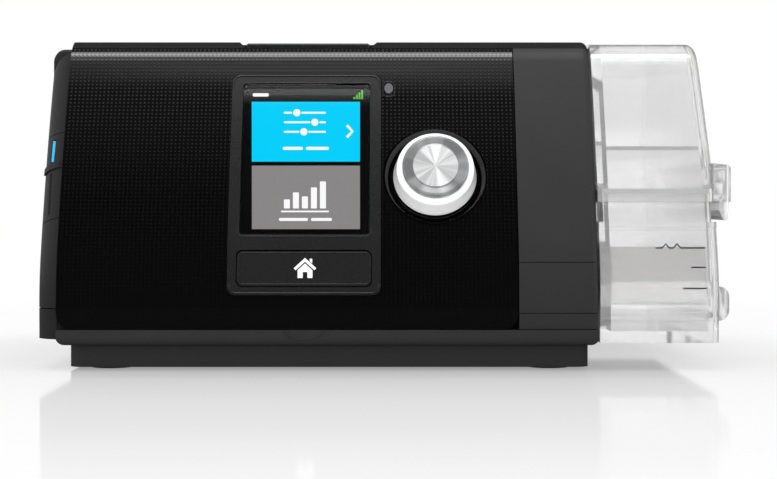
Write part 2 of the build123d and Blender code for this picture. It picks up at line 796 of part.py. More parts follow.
def start_button():
    x0, x1 = START_X - START_W / 2, START_X + START_W / 2
    y0, y1 = CROWN_Y + FIT + BUTTON_GAP, CROWN_Y + START_D
    button = block(x0, x1, y0, y1, START_TOP - START_T, START_TOP)
    button = fillet(button.edges().filter_by(Axis.Z), START_CORNER_R)
    button = fillet(button.faces().sort_by(Axis.Z)[-1].edges(), START_EDGE_R)
    return button - light_hole(FIT / 2)


def light_hole(grow):
    y = CROWN_Y + FIT + BUTTON_GAP + LIGHT_SETBACK
    return block(
        START_X - LIGHT_W / 2 - grow,
        START_X + LIGHT_W / 2 + grow,
        y - LIGHT_D / 2 - grow,
        y + LIGHT_D / 2 + grow,
        START_TOP - START_T,
        START_TOP,
    )


def start_switch():
    y = CROWN_Y + START_D / 2 + START_SWITCH_W / 4
    half = START_SWITCH_W / 2
    top = START_TOP - START_T - START_TRAVEL - FIT / 2
    return block(START_X - half, START_X + half, y - half, y + half, POCKET_FLOOR, top)


# ---------------------------------------------------------------- dial


def turned(plane, points):
    """A piece turned about the plane's normal, from (radius, height) points."""
    profile = make_face(Polyline(*points, close=True))
    lathe = Plane(plane.origin, x_dir=plane.x_dir, z_dir=-plane.y_dir)
    return revolve(lathe * profile, axis=Axis(plane.origin, plane.z_dir))


def dial_well():
    """Shallow black dish that the dial stands in, its wall sloping from a narrow rim."""
    points = [
        (SHAFT_R + FIT, -WELL_DEEP - WELL_T),
        (WELL_R, -WELL_DEEP - WELL_T),
        (WELL_R, -FIT),
        (WELL_R - WELL_LAND, FIT),
        (WELL_R - WELL_RIM, -WELL_DEEP),
        (SHAFT_R + FIT, -WELL_DEEP),
    ]
    return turned(DIAL_PLANE, points)


SKIRT_LOW_H = -WELL_DEEP + DIAL_TRAVEL + FIT
CAP_LOW_H = SKIRT_LOW_H + SKIRT_H


def dial_skirt():
    """White skirt, hollow underneath, its side drawn in a little and its rim rounded over to the cap."""
    mid_r = (SKIRT_R + SKIRT_TOP_R) / 2 - SKIRT_WAIST
    side = Spline((SKIRT_R, SKIRT_LOW_H), (mid_r, SKIRT_LOW_H + SKIRT_H / 2), (SKIRT_TOP_R, CAP_LOW_H))
    rest = Polyline(
        (SKIRT_TOP_R, CAP_LOW_H),
        (SHAFT_R + TURN_FIT / 4, CAP_LOW_H),
        (SHAFT_R + TURN_FIT / 4, CAP_LOW_H - WALL),
        (SKIRT_TOP_R - WALL, CAP_LOW_H - WALL),
        (SKIRT_R - WALL, SKIRT_LOW_H),
        (SKIRT_R, SKIRT_LOW_H),
    )
    lathe = Plane(DIAL_PLANE.origin, x_dir=DIAL_PLANE.x_dir, z_dir=-DIAL_PLANE.y_dir)
    axis = Axis(DIAL_PLANE.origin, DIAL_PLANE.z_dir)
    skirt = revolve(lathe * make_face(Curve() + [side, rest]), axis=axis)
    rim = skirt.edges().group_by(axis)[-1].sort_by(SortBy.LENGTH)[-1]
    return fillet(rim, SKIRT_RIM_R)


def dial_cap():
    """Metal cap: rounded rim, sloping ring and a flat disc in the middle."""
    top = CAP_LOW_H + CAP_H
    points = [
        (0, CAP_LOW_H),
        (CAP_R, CAP_LOW_H),
        (CAP_R, top),
        (CAP_DISC_R + CAP_DISC_STEP, top - CAP_DISC_STEP),
        (CAP_DISC_R, top - CAP_DISC_SUNK),
        (0, top - CAP_DISC_SUNK),
    ]
    cap = turned(DIAL_PLANE, points)
    rim = cap.edges().sort_by(Axis(DIAL_PLANE.origin, DIAL_PLANE.z_dir))[-1]
    return fillet(rim, CAP_RIM_R)


def dial_shaft():
    """Hollow spindle of the dial, turning in the encoder and about the plunger."""
    return ring(DIAL_PLANE, SHAFT_R, PLUNGER_R + TURN_FIT / 2, -dial_socket(), CAP_LOW_H)


def dial_socket():
    """How far the spindle reaches below the face."""
    return WELL_DEEP + WELL_T + SHAFT_REACH


def encoder_floor():
    return dial_socket() + PLUNGER_T + DIAL_TRAVEL + FIT


def dial_plunger():
    """Push pin of the encoder: a flange under the spindle and a pin up its bore."""
    top = CAP_LOW_H - SLIDE_FIT
    pin = along(DIAL_PLANE, PLUNGER_R, -dial_socket() - FIT / 2, top)
    return pin + along(DIAL_PLANE, SHAFT_R, -dial_socket() - FIT / 2 - PLUNGER_T, -dial_socket() - FIT / 2)


def dial_encoder():
    """Square encoder can between the well and the display board, open for the spindle."""
    high = -(WELL_DEEP + WELL_T)
    plan = Rectangle(ENCODER_W, ENCODER_W) - Circle(SHAFT_R + TURN_FIT)
    can = extrude(DIAL_PLANE.offset(high) * plan, amount=-(encoder_floor() + high))
    floor = extrude(DIAL_PLANE.offset(-encoder_floor()) * Rectangle(ENCODER_W, ENCODER_W), amount=-FLOOR_T)
    keep_out = SCREEN_PLANE.offset(-BOARD_DEEP) * Rectangle(FAR, FAR)
    return can + floor - extrude(keep_out, amount=-FAR)


# ---------------------------------------------------------------- left end


def end_cap(shrink=0.0):
    """The whole left end in one slab, rounded in front and crisp along the roof; its panels are cut from it."""
    x0 = BODY_LEFT - END_SIDE_W + shrink
    radius = END_FRONT_R - shrink
    slab = rounded_end(END_INSET + shrink, x0 + radius + WALL, x0, radius)
    profile = section(END_INSET + shrink, DEEP / 2)
    setback = END_FRONT_R + WALL
    profile = profile & Pos(setback * cosd(TOP_FALL), -setback * sind(TOP_FALL)) * profile
    core = prism(profile, x0, x0 + radius + WALL)
    edges = core.faces().sort_by(Axis.X)[0].edges()
    edges = edges.filter_by(lambda edge: edge.center().Z > DEEP / 2 + WALL)
    slab += fillet(edges, max(END_TOP_R - shrink, FIT))
    return slab & block(-FAR, BODY_LEFT - FIT, -FAR, FAR, DEEP / 2, FAR)


END_CAP = end_cap()


def side_zone(depth0, depth1, low, high):
    """A box seen along X: depths below the front face, heights along the card's plane."""
    origin = Vector(LEFT - WALL, CARD_PLANE.origin.Y, CARD_PLANE.origin.Z)
    plane = Plane(origin, x_dir=-CARD_PLANE.z_dir, z_dir=(1, 0, 0))
    plan = Pos((depth0 + depth1) / 2, (low + high) / 2) * Rectangle(depth1 - depth0, high - low)
    return extrude(plane * plan, amount=END_PANEL_W + WALL)


def flap_zone(grow):
    half = CARD_W / 2 + FLAP_OVER
    return side_zone(FLAP_FRONT - grow, FLAP_REAR + grow, -half - grow, half + grow)


def end_panel():
    panel = END_CAP & block(-FAR, FAR, -FAR, FRONT + COVER_START - SEAM, LOWER_PANEL_HIGH + SEAM, FAR)
    recess = flap_zone(FIT) - end_cap(FLAP_T + FIT)
    return panel - recess - card_slot()


def lower_panel():
    return END_CAP & block(-FAR, FAR, -FAR, FAR, LOWER_PANEL_LOW, LOWER_PANEL_HIGH)


def sd_cover():
    """Flap over the card slot: a window on the card's edge, a finger ridge, and a slit below."""
    flap = (END_CAP - end_cap(FLAP_T)) & flap_zone(0)
    ridge = end_cap(-RIDGE_PROUD) - end_cap(FLAP_T)
    flap += ridge & side_zone(FLAP_FRONT, RIDGE_REAR, RIDGE_LOW, RIDGE_HIGH)
    flap -= card_slab(SLIDE_FIT, CARD_LEFT - SLIDE_FIT, BODY_LEFT)
    flap -= side_zone(CARD_DEPTH - WINDOW_W / 2, CARD_DEPTH + WINDOW_W / 2, WINDOW_LOW, WINDOW_HIGH)
    return flap - side_zone(CARD_DEPTH - SLIT_W / 2, CARD_DEPTH + SLIT_W / 2, SLIT_LOW, SLIT_HIGH)


def card_slab(grow, left, right, depth=CARD_DEPTH):
    """A slab in the card's plane, as wide as the card."""
    plan = Pos((left + right) / 2, 0) * Rectangle(right - left, CARD_W + 2 * grow)
    return extrude(CARD_PLANE.offset(-depth - CARD_T / 2 - grow) * plan, amount=CARD_T + 2 * grow)


def card_slot():
    return card_slab(FIT, LEFT - WALL, BODY_LEFT + 2 * WALL)


def sd_card():
    return card_slab(0, CARD_LEFT, CARD_LEFT + CARD_L)


def card_reader():
    left, right = BODY_LEFT + WALL + FIT, CARD_LEFT + CARD_L + CARD_TRAVEL + FIT + READER_WALL
    shell = card_slab(READER_WALL, left, right)
    return shell - card_slab(TURN_FIT, left - WALL, right - READER_WALL)


def filter_window(grow):
    y = (FRONT + COVER_START + BACK) / 2
    return block(
        BODY_LEFT - 2 * WALL,
        BODY_LEFT + 2 * WALL,
        y - FILTER_L / 2 - grow,
        y + FILTER_L / 2 + grow,
        FILTER_Z - FILTER_H / 2 - grow,
        FILTER_Z + FILTER_H / 2 + grow,
    )


def filter_cover():
    """Cover over the air filter: a shell proud of the end panel, with intake slots and filter ribs."""
    proud = END_PANEL_W - END_SIDE_W
    region = block(-FAR, FAR, FRONT + COVER_START, FAR, LOWER_PANEL_HIGH + SEAM, FAR)
    outer = end_cap(-proud) & region
    inside = Pos(0, COVER_WALL, COVER_WALL) * region
    cover = outer - (end_cap(COVER_WALL - proud) & inside)
    y = (FRONT + COVER_START + BACK) / 2
    for i in range(INTAKE_COUNT):
        z = FILTER_Z + (i - (INTAKE_COUNT - 1) / 2) * INTAKE_PITCH
        slot = block(LEFT - WALL, LEFT + 2 * WALL, y - INTAKE_L / 2, y + INTAKE_L / 2, z, z + INTAKE_H)
        cover -= fillet(slot.edges().filter_by(Axis.X), INTAKE_R)
    for i in range(COVER_RIB_COUNT):
        rib_y = y + (i - (COVER_RIB_COUNT - 1) / 2) * (FILTER_L / COVER_RIB_COUNT)
        cover += outer & block(
            LEFT,
            BODY_LEFT - FILTER_OUT - FIT / 2,
            rib_y - COVER_RIB_T / 2,
            rib_y + COVER_RIB_T / 2,
            FILTER_Z - FILTER_H / 2,
            FILTER_Z + FILTER_H / 2,
        )
    return cover


def air_filter():
    window = filter_window(-SLIDE_FIT)
    return window & block(BODY_LEFT - FILTER_OUT, BODY_LEFT - FILTER_OUT + FILTER_T, -FAR, FAR, 0, FAR)


def adapter_window(grow):
    return block(
        ADAPTER_X - ADAPTER_W / 2 - grow,
        ADAPTER_X + ADAPTER_W / 2 + grow,
        BACK - 2 * WALL,
        BACK + WALL,
        ADAPTER_Z - ADAPTER_H / 2 - grow,
        ADAPTER_Z + ADAPTER_H / 2 + grow,
    )


def adapter_cover():
    plate = adapter_window(-FIT / 2)
    return plate & block(-FAR, FAR, BACK - ADAPTER_COVER_T, BACK, 0, FAR)


def adapter_socket():
    back = FITTING_BACK
    x0, x1 = ADAPTER_X - ADAPTER_W / 2 + WALL, ADAPTER_X + ADAPTER_W / 2 - WALL
    z0, z1 = ADAPTER_Z - ADAPTER_H / 2 + WALL, ADAPTER_Z + ADAPTER_H / 2 - WALL
    body = block(x0, x1, back - ADAPTER_D, back, z0, z1)
    return body - block(x0 + WALL, x1 - WALL, back - ADAPTER_D / 2, back + WALL, z0 + WALL, z1 - WALL)


# ---------------------------------------------------------------- dock and heater

HEATER_LEFT = TUB_INNER_X + HEATER_INNER_GAP
HEATER_TOP = RUNNER_TOP - TURN_FIT


def heater_block(grow, low, high):
    return block(
        HEATER_LEFT - grow,
        HEATER_LEFT + HEATER_L + grow,
        HEATER_FRONT - grow,
        HEATER_BACK + grow,
        low,
        high,
    )


def port(y, radius, x0, x1):
    """A round air port along X through the dock's inner end."""
    return extrude(Plane.YZ.offset(x0) * (Pos(y, PORT_Z) * Circle(radius)), amount=x1 - x0)


def dock_sleeve():
    """Sleeve that the tub slides into, with the heater well in its floor and a flange round its mouth."""
    foil_low = HEATER_TOP - HEATER_T - HEATER_FOIL_T
    sleeve = prism(section(DOCK_INSET, DOCK_SEAT), DOCK_INNER_X, BODY_RIGHT)
    sleeve += prism(section(WALL + FIT, SHELL_LOW), BODY_RIGHT - DOCK_FLANGE, BODY_RIGHT)
    sleeve += heater_block(WELL_WALL, foil_low - WELL_WALL, DOCK_SEAT + FIT)
    sleeve -= prism(section(DOCK_INSET + DOCK_WALL, RUNNER_TOP), DOCK_INNER_X + DOCK_WALL, BODY_RIGHT + WALL)
    sleeve -= heater_block(FIT, foil_low, RUNNER_TOP + WALL)
    for y in (INLET_PORT_Y, OUTLET_PORT_Y):
        sleeve -= port(y, PORT_R, DOCK_INNER_X - WALL, DOCK_INNER_X + 2 * DOCK_WALL)
    return sleeve


def heater_plate():
    return heater_block(0, HEATER_TOP - HEATER_T, HEATER_TOP)


def heater_foil():
    return heater_block(0, HEATER_TOP - HEATER_T - HEATER_FOIL_T, HEATER_TOP - HEATER_T)


def port_seals():
    wall = DOCK_INNER_X + DOCK_WALL
    return [
        port(y, PORT_R + PORT_LIP, wall, TUB_INNER_X - SLIDE_FIT) - port(y, PORT_R, wall, TUB_INNER_X)
        for y in (INLET_PORT_Y, OUTLET_PORT_Y)
    ]


# ---------------------------------------------------------------- tub


def tub_inner(recess, shrink):
    """The part of the tub that fits the dock, at one recess."""
    deep = recess - SKIRT_RECESS
    return prism(section(TUB_INSET + deep, DEEP / 2), TUB_INNER_X + deep, TUB_LEFT + shrink + FIT)


def tub_layer(recess, low, high, shrink=0.0):
    """The tub's plan at one recess: the shown part follows the body, the inner part fits the dock."""
    shown = rounded_end(recess, TUB_LEFT + shrink, TUB_RIGHT - shrink, max(TUB_CORNER_R - shrink, FIT))
    return (shown + tub_inner(recess, shrink)) & block(-FAR, FAR, -FAR, FAR, low, high)


LID_FLOOR = NECK_TOP + SEAL_T - FIT


def lid_layer(recess, low, high, shrink=0.0):
    """The tub's plan over the seal, where its outer side leans in going up."""
    right = TUB_RIGHT - shrink
    slab = prism(section(recess, LID_FLOOR), TUB_LEFT + shrink, right + WALL)
    side = Plane((right, 0, LID_FLOOR), x_dir=(0, 1, 0), z_dir=(-cosd(LID_LEAN), 0, -sind(LID_LEAN)))
    slab = slab & extrude(side * Rectangle(FAR, FAR), amount=FAR)
    edges = slab.faces().sort_by(Axis.X)[-1].edges()
    edges = edges.filter_by(lambda edge: edge.center().Z > LID_FLOOR + FIT)
    shown = fillet(edges, max(TUB_CORNER_R - shrink, FIT))
    return (shown + tub_inner(recess, shrink)) & block(-FAR, FAR, -FAR, FAR, low, high)


def tub_shown(recess, low, high, shrink=0.0):
    return tub_layer(recess, low, high, shrink) & block(TUB_LEFT, FAR, -FAR, FAR, low, high)


def plate_block(grow, low, high):
    return block(
        HEATER_LEFT + PLATE_RIM + grow,
        HEATER_LEFT + HEATER_L - PLATE_RIM - grow,
        HEATER_FRONT + PLATE_RIM + grow,
        HEATER_BACK - PLATE_RIM - grow,
        low,
        high,
    )


def tub_base():
    """Clear base: stepped foot, ribbed band, ledge and the neck that the lid closes over."""
    base = tub_layer(BASE_RECESS, TUB_LOW, LEDGE_Z)
    base -= tub_layer(-WALL, DEEP, BAND_LOW) & block(TUB_LEFT, FAR, -FAR, FAR, DEEP, FAR)
    base += tub_shown(FOOT_RECESS, TUB_FLOAT, BAND_LOW)
    pitch = (BAND_HIGH - BAND_LOW) / RIB_COUNT
    for i in range(RIB_COUNT):
        low = BAND_LOW + i * pitch
        base += tub_shown(BASE_RECESS - RIB_PROUD, low, low + RIB_T)
    base += tub_shown(SKIRT_RECESS, LEDGE_Z - LEDGE_T, LEDGE_Z)
    neck_shrink = SKIRT_T + FIT
    base += tub_layer(NECK_RECESS, LEDGE_Z, NECK_TOP, neck_shrink)
    base += tub_grip()
    base -= tub_layer(NECK_RECESS + NECK_T, TUB_LOW + TUB_FLOOR_T, FAR, neck_shrink + NECK_T)
    return base - plate_block(-FIT, 0, TUB_LOW + 2 * TUB_FLOOR_T)


def tub_grip():
    """Rounded finger grip along the outer side of the base."""
    front, back = FRONT + LATCH_FRONT, FRONT + LATCH_BACK
    grip = block(TUB_RIGHT - TUB_WALL, TUB_RIGHT + GRIP_PROUD, front, back, GRIP_LOW, GRIP_HIGH)
    outer = grip.faces().sort_by(Axis.X)[-1].edges()
    return fillet(outer, GRIP_PROUD - FIT)


def conduction_plate():
    """Pressed steel pan in the floor of the tub, its rim on the floor and its bottom over the heater."""
    floor = TUB_LOW + TUB_FLOOR_T
    bottom = TUB_LOW - TURN_FIT
    pan = plate_block(0, bottom, floor + PLATE_T) + plate_block(-PLATE_RIM, floor, floor + PLATE_T)
    return pan - plate_block(PLATE_T, bottom + PLATE_T, floor + 2 * PLATE_T)


def tub_seal():
    outer = tub_layer(NECK_RECESS, NECK_TOP, NECK_TOP + SEAL_T, SKIRT_T + FIT)
    return outer - tub_layer(NECK_RECESS + NECK_T, 0, FAR, SKIRT_T + FIT + NECK_T)


def tub_lid():
    """Clear lid: a skirt over the neck, a domed top that follows the body, and the latch lip."""
    lid = tub_layer(SKIRT_RECESS, SKIRT_LOW, SKIRT_HIGH) + lid_layer(LID_RECESS, SKIRT_HIGH, FAR)
    lid += tub_latch()
    lid -= tub_layer(SKIRT_RECESS + SKIRT_T, 0, NECK_TOP + SEAL_T, SKIRT_T)
    lid -= lid_layer(LID_RECESS + LID_T, LID_FLOOR, FAR, LID_T + SKIRT_T)
    for y in (INLET_PORT_Y, OUTLET_PORT_Y):
        lid -= port(y, PORT_R, TUB_INNER_X - WALL, TUB_INNER_X + 3 * LID_T)
    return lid


def tub_latch():
    """Curved latch lip on the lid's outer side, with a hook that reaches down over the ledge."""
    root = TUB_RIGHT - SKIRT_T
    front, back = FRONT + LATCH_FRONT, FRONT + LATCH_BACK
    lip = Polyline(
        (root, LATCH_TOP),
        (TUB_RIGHT + LATCH_SHOULDER, LATCH_TOP - LATCH_SLOPE),
        (RIGHT, SKIRT_LOW + LATCH_NOSE),
        (RIGHT - LATCH_NOSE, SKIRT_LOW),
        (TUB_RIGHT + HOOK_W, SKIRT_LOW),
        (TUB_RIGHT + HOOK_W - HOOK_TAPER, HOOK_LOW),
        (TUB_RIGHT + HOOK_W - HOOK_TAPER - HOOK_T, HOOK_LOW),
        (TUB_RIGHT + 2 * FIT, SKIRT_LOW - HOOK_ROOT),
        (TUB_RIGHT + 2 * FIT, SKIRT_LOW),
        (root, SKIRT_LOW),
        close=True,
    )
    shape = make_face(lip)
    shape = fillet(shape.vertices().sort_by(Axis.Y)[-2], LATCH_SHOULDER_R)
    plane = Plane((0, front, 0), x_dir=(1, 0, 0), z_dir=(0, -1, 0))
    solid = extrude(plane * shape, amount=front - back)
    ends = RIGHT - LATCH_BOW
    bow = ThreePointArc((ends, front), (RIGHT, (front + back) / 2), (ends, back))
    plan = make_face(Curve() + [bow, Polyline(bow @ 1, (root, back), (root, front), bow @ 0)])
    plan = fillet(plan.vertices().group_by(Axis.X)[-1], LATCH_CORNER_R)
    return solid & extrude(plan, amount=HEIGHT)


def tub_baffle():
    """Flat air guide across the shown part of the lid."""
    plate = lid_layer(LID_RECESS + LID_T + FIT, BAFFLE_Z, BAFFLE_Z + BAFFLE_T, LID_T + SKIRT_T + FIT)
    return plate & block(TUB_LEFT + LID_T, FAR, -FAR, FAR, 0, FAR)


# ---------------------------------------------------------------- blower and ducts


def volute_plan(grow):
    """Spiral plan of the blower casing, ending in a straight spout towards the dock."""
    points = []
    for i in range(VOLUTE_STEPS + 1):
        radius = VOLUTE_START_R + VOLUTE_GROWTH * i / VOLUTE_STEPS + grow
        angle = math.radians(-90 + 360 * i / VOLUTE_STEPS)
        points.append((BLOWER_X + radius * math.cos(angle), BLOWER_Y + radius * math.sin(angle)))
    spiral = Spline(*points, tangents=[(1, 0), (1, 0)])
    spout_x = BLOWER_X + SPOUT_LEN
    close = Polyline(points[-1], (spout_x, points[-1][1]), (spout_x, points[0][1]), points[0])
    return make_face(Curve() + [spiral, close])


def spout_hole(x0, x1):
    """The spout's bore through whatever lies between x0 and x1."""
    low_y = BLOWER_Y - VOLUTE_START_R - VOLUTE_GROWTH
    high_y = BLOWER_Y - VOLUTE_START_R - VOLUTE_WALL
    return block(x0, x1, low_y, high_y, MOTOR_TOP + VOLUTE_FLOOR, VOLUTE_SPLIT)


def blower_lower():
    body = extrude(Pos(0, 0, MOTOR_TOP) * volute_plan(VOLUTE_WALL), amount=VOLUTE_SPLIT - MOTOR_TOP)
    body -= extrude(Pos(0, 0, MOTOR_TOP + VOLUTE_FLOOR) * volute_plan(0), amount=VOLUTE_SPLIT)
    spout_x = BLOWER_X + SPOUT_LEN
    body -= spout_hole(spout_x - 2 * WALL, spout_x + WALL)
    return body - upright(BLOWER_X, BLOWER_Y, 0, VOLUTE_SPLIT, HUB_R)


def blower_upper():
    body = extrude(Pos(0, 0, VOLUTE_SPLIT) * volute_plan(VOLUTE_WALL), amount=VOLUTE_FLOOR)
    body += upright(BLOWER_X, BLOWER_Y, VOLUTE_SPLIT, COLLAR_TOP, EYE_R + VOLUTE_WALL)
    return body - upright(BLOWER_X, BLOWER_Y, 0, COLLAR_TOP + WALL, EYE_R)


def impeller():
    """Backplate, hub and backward-curved blades."""
    low = MOTOR_TOP + VOLUTE_FLOOR + BLADE_GAP
    high = VOLUTE_SPLIT - BLADE_GAP
    wheel = upright(0, 0, low, low + BACKPLATE_T, IMPELLER_R) + upright(0, 0, low, high, HUB_R)
    arc = Circle(BLADE_BEND_R + BLADE_T / 2) - Circle(BLADE_BEND_R - BLADE_T / 2)
    reach = Circle(IMPELLER_R - BLADE_T / 2) - Circle(2 * HUB_R)
    half = Pos(0, IMPELLER_R / 2) * Rectangle(2 * IMPELLER_R, IMPELLER_R)
    root = low + BACKPLATE_T / 2
    plan = (Pos(BLADE_BEND_R, 0) * arc) & reach & half
    blade = extrude(Pos(0, 0, root) * plan, amount=high - root)
    for i in range(BLADE_COUNT):
        wheel += Rot(0, 0, 360 * i / BLADE_COUNT) * blade
    return Pos(BLOWER_X, BLOWER_Y) * (wheel - upright(0, 0, 0, HEIGHT, ROTOR_SHAFT_R))


def motor_shaft():
    return upright(BLOWER_X, BLOWER_Y, SUSPENSION_TOP, VOLUTE_SPLIT - BLADE_GAP, ROTOR_SHAFT_R)


def blower_motor():
    can = upright(BLOWER_X, BLOWER_Y, FLOOR_TOP, MOTOR_TOP, MOTOR_R)
    return can - upright(BLOWER_X, BLOWER_Y, SUSPENSION_TOP - FIT, HEIGHT, ROTOR_SHAFT_R + TURN_FIT)


def blower_suspension():
    ring_out = upright(BLOWER_X, BLOWER_Y, FLOOR_TOP, SUSPENSION_TOP, MOTOR_R + SUSPENSION_T)
    return ring_out - upright(BLOWER_X, BLOWER_Y, 0, HEIGHT, MOTOR_R + FIT)


def sound_foam():
    """Foam over the blower eye, with a bent air channel from the filter."""
    left = BODY_LEFT + FOAM_LEFT
    foam = rounded_block(left, FOAM_RIGHT, FOAM_FRONT, FOAM_BACK, COLLAR_TOP + FIT, FOAM_TOP, WALL)
    foam -= upright(BLOWER_X, BLOWER_Y, COLLAR_TOP, FILTER_Z + EYE_R + WALL, EYE_R - WALL)
    channel = Pos(BLOWER_Y, COLLAR_TOP + EYE_R) * Circle(EYE_R - WALL)
    return foam - extrude(Plane.YZ.offset(left - WALL) * channel, amount=BLOWER_X - left + WALL)


def hollow_box(x0, x1, y0, y1, z0, z1, wall):
    inside = block(x0 + wall, x1 - wall, y0 + wall, y1 - wall, z0 + wall, z1 - wall)
    return block(x0, x1, y0, y1, z0, z1) - inside


DUCT_RIGHT = DOCK_INNER_X - FIT


def inlet_duct():
    """Upright duct from the blower's spout to the tub's inlet port."""
    left = BLOWER_X + SPOUT_LEN + SLIDE_FIT
    y0 = INLET_PORT_Y - PORT_R - PORT_LIP
    y1 = INLET_PORT_Y + PORT_R + PORT_LIP
    duct = hollow_box(left, DUCT_RIGHT, y0, y1, MOTOR_TOP, PORT_Z + PORT_R + PORT_LIP, DUCT_T)
    duct -= spout_hole(left - WALL, left + 1.5 * DUCT_T)
    return duct - port(INLET_PORT_Y, PORT_R, DUCT_RIGHT - 2 * DUCT_T, DUCT_RIGHT + WALL)


def outlet_duct():
    """Chamber between the tub's outlet port and the air outlet at the back."""
    reach = OUTLET_R + PORT_LIP
    cup_floor = BACK - OUTLET_CUP_D - CUP_WALL - FIT
    duct = hollow_box(
        OUTLET_X - reach,
        DUCT_RIGHT,
        OUTLET_PORT_Y - PORT_R - PORT_LIP,
        cup_floor,
        OUTLET_Z - reach,
        PORT_Z + PORT_R + PORT_LIP,
        DUCT_T,
    )
    duct -= port(OUTLET_PORT_Y, PORT_R, DUCT_RIGHT - 2 * DUCT_T, DUCT_RIGHT + WALL)
    return duct - along(OUTLET_PLANE, OUTLET_BORE_R + DUCT_T + FIT, -OUTLET_CUP_D - 3 * CUP_WALL, 0)


def outlet_connector():
    """Removable air outlet: a 22 mm tube, a flange in the recess and a spigot into the duct."""
    tube = along(OUTLET_PLANE, OUTLET_R, -OUTLET_CUP_D, OUTLET_PROUD)
    rim = OUTLET_R + OUTLET_ROOM - 2 * SLIDE_FIT
    flange = along(OUTLET_PLANE, rim, -OUTLET_CUP_D, -OUTLET_CUP_D + OUTLET_FLANGE_T)
    spigot = along(OUTLET_PLANE, OUTLET_BORE_R + DUCT_T, -OUTLET_CUP_D - SPIGOT_LEN, -OUTLET_CUP_D)
    body = tube + flange + spigot
    return body - along(OUTLET_PLANE, OUTLET_BORE_R, -OUTLET_LEN - SPIGOT_LEN, OUTLET_LEN)


# ---------------------------------------------------------------- rear fittings and electronics


def power_inlet():
    """Socket for the power plug: a walled recess with three contacts in its floor."""
    back = FITTING_BACK
    half_w, half_h = POWER_W / 2, POWER_H / 2
    low, high = POWER_Z - half_h, POWER_Z + half_h
    body = block(POWER_X - half_w, POWER_X + half_w, back - POWER_D, back, low, high)
    body -= block(
        POWER_X - half_w + POWER_WALL,
        POWER_X + half_w - POWER_WALL,
        back - POWER_CAVITY,
        back + WALL,
        low + POWER_WALL,
        high - POWER_WALL,
    )
    floor = Plane((POWER_X, back - POWER_CAVITY, POWER_Z), x_dir=(-1, 0, 0), z_dir=(0, 1, 0))
    for i in (-1, 0, 1):
        pin = Pos(i * POWER_W / 4, 0) * Circle(PIN_R)
        body += extrude(floor.offset(-WALL / 2) * pin, amount=WALL + PIN_R)
    return body


def retention_clip():
    """U-shaped clip that swings over the plug, on two pins in the housing's ears."""
    arm_x = POWER_W / 2 - FIT
    y0, y1 = CLIP_Y - CLIP_T / 2, CLIP_Y + CLIP_T / 2
    low = CLIP_Z - CLIP_DROP
    clip = block(POWER_X - arm_x, POWER_X + arm_x, y0, y1, low - CLIP_T, low)
    for side in (-1, 1):
        inner, outer = POWER_X + side * (arm_x - CLIP_ARM_T), POWER_X + side * arm_x
        clip += block(min(inner, outer), max(inner, outer), y0, y1, low - CLIP_T, CLIP_Z)
        eye = clip_axis(min(inner, outer))
        clip += along(eye, CLIP_T / 2, 0, CLIP_ARM_T)
        pin = clip_axis(outer)
        reach = side * (CLIP_ARM_T + FIT)
        clip += along(pin, CLIP_R / 2, min(0, reach), max(0, reach))
    return clip


def card_height(z):
    return (z - CARD_PLANE.origin.Z) / CARD_PLANE.y_dir.Z


def main_board():
    """Board behind the fascia, carrying the card reader in front and the wireless module behind."""
    low, high = card_height(MAIN_BOARD_LOW), card_height(MAIN_BOARD_HIGH)
    plan = Pos(MAIN_BOARD_LEFT + MAIN_BOARD_W / 2, (low + high) / 2) * Rectangle(MAIN_BOARD_W, high - low)
    return extrude(CARD_PLANE.offset(-MAIN_BOARD_DEEP) * plan, amount=-BOARD_T)


def wireless_module():
    plan = Pos(MAIN_BOARD_LEFT + MAIN_BOARD_W / 2, MODULE_H / 2) * Rectangle(MODULE_W, MODULE_H)
    return extrude(CARD_PLANE.offset(-MAIN_BOARD_DEEP - BOARD_T) * plan, amount=-MODULE_T)


def flow_sensor():
    x = BLOWER_X + SPOUT_LEN + SLIDE_FIT
    y, z = INLET_PORT_Y, (VOLUTE_SPLIT + PORT_Z) / 2
    return block(x - FLOW_T, x, y - FLOW_W / 2, y + FLOW_W / 2, z - FLOW_H / 2, z + FLOW_H / 2)


def status_light():
    return light_hole(0)


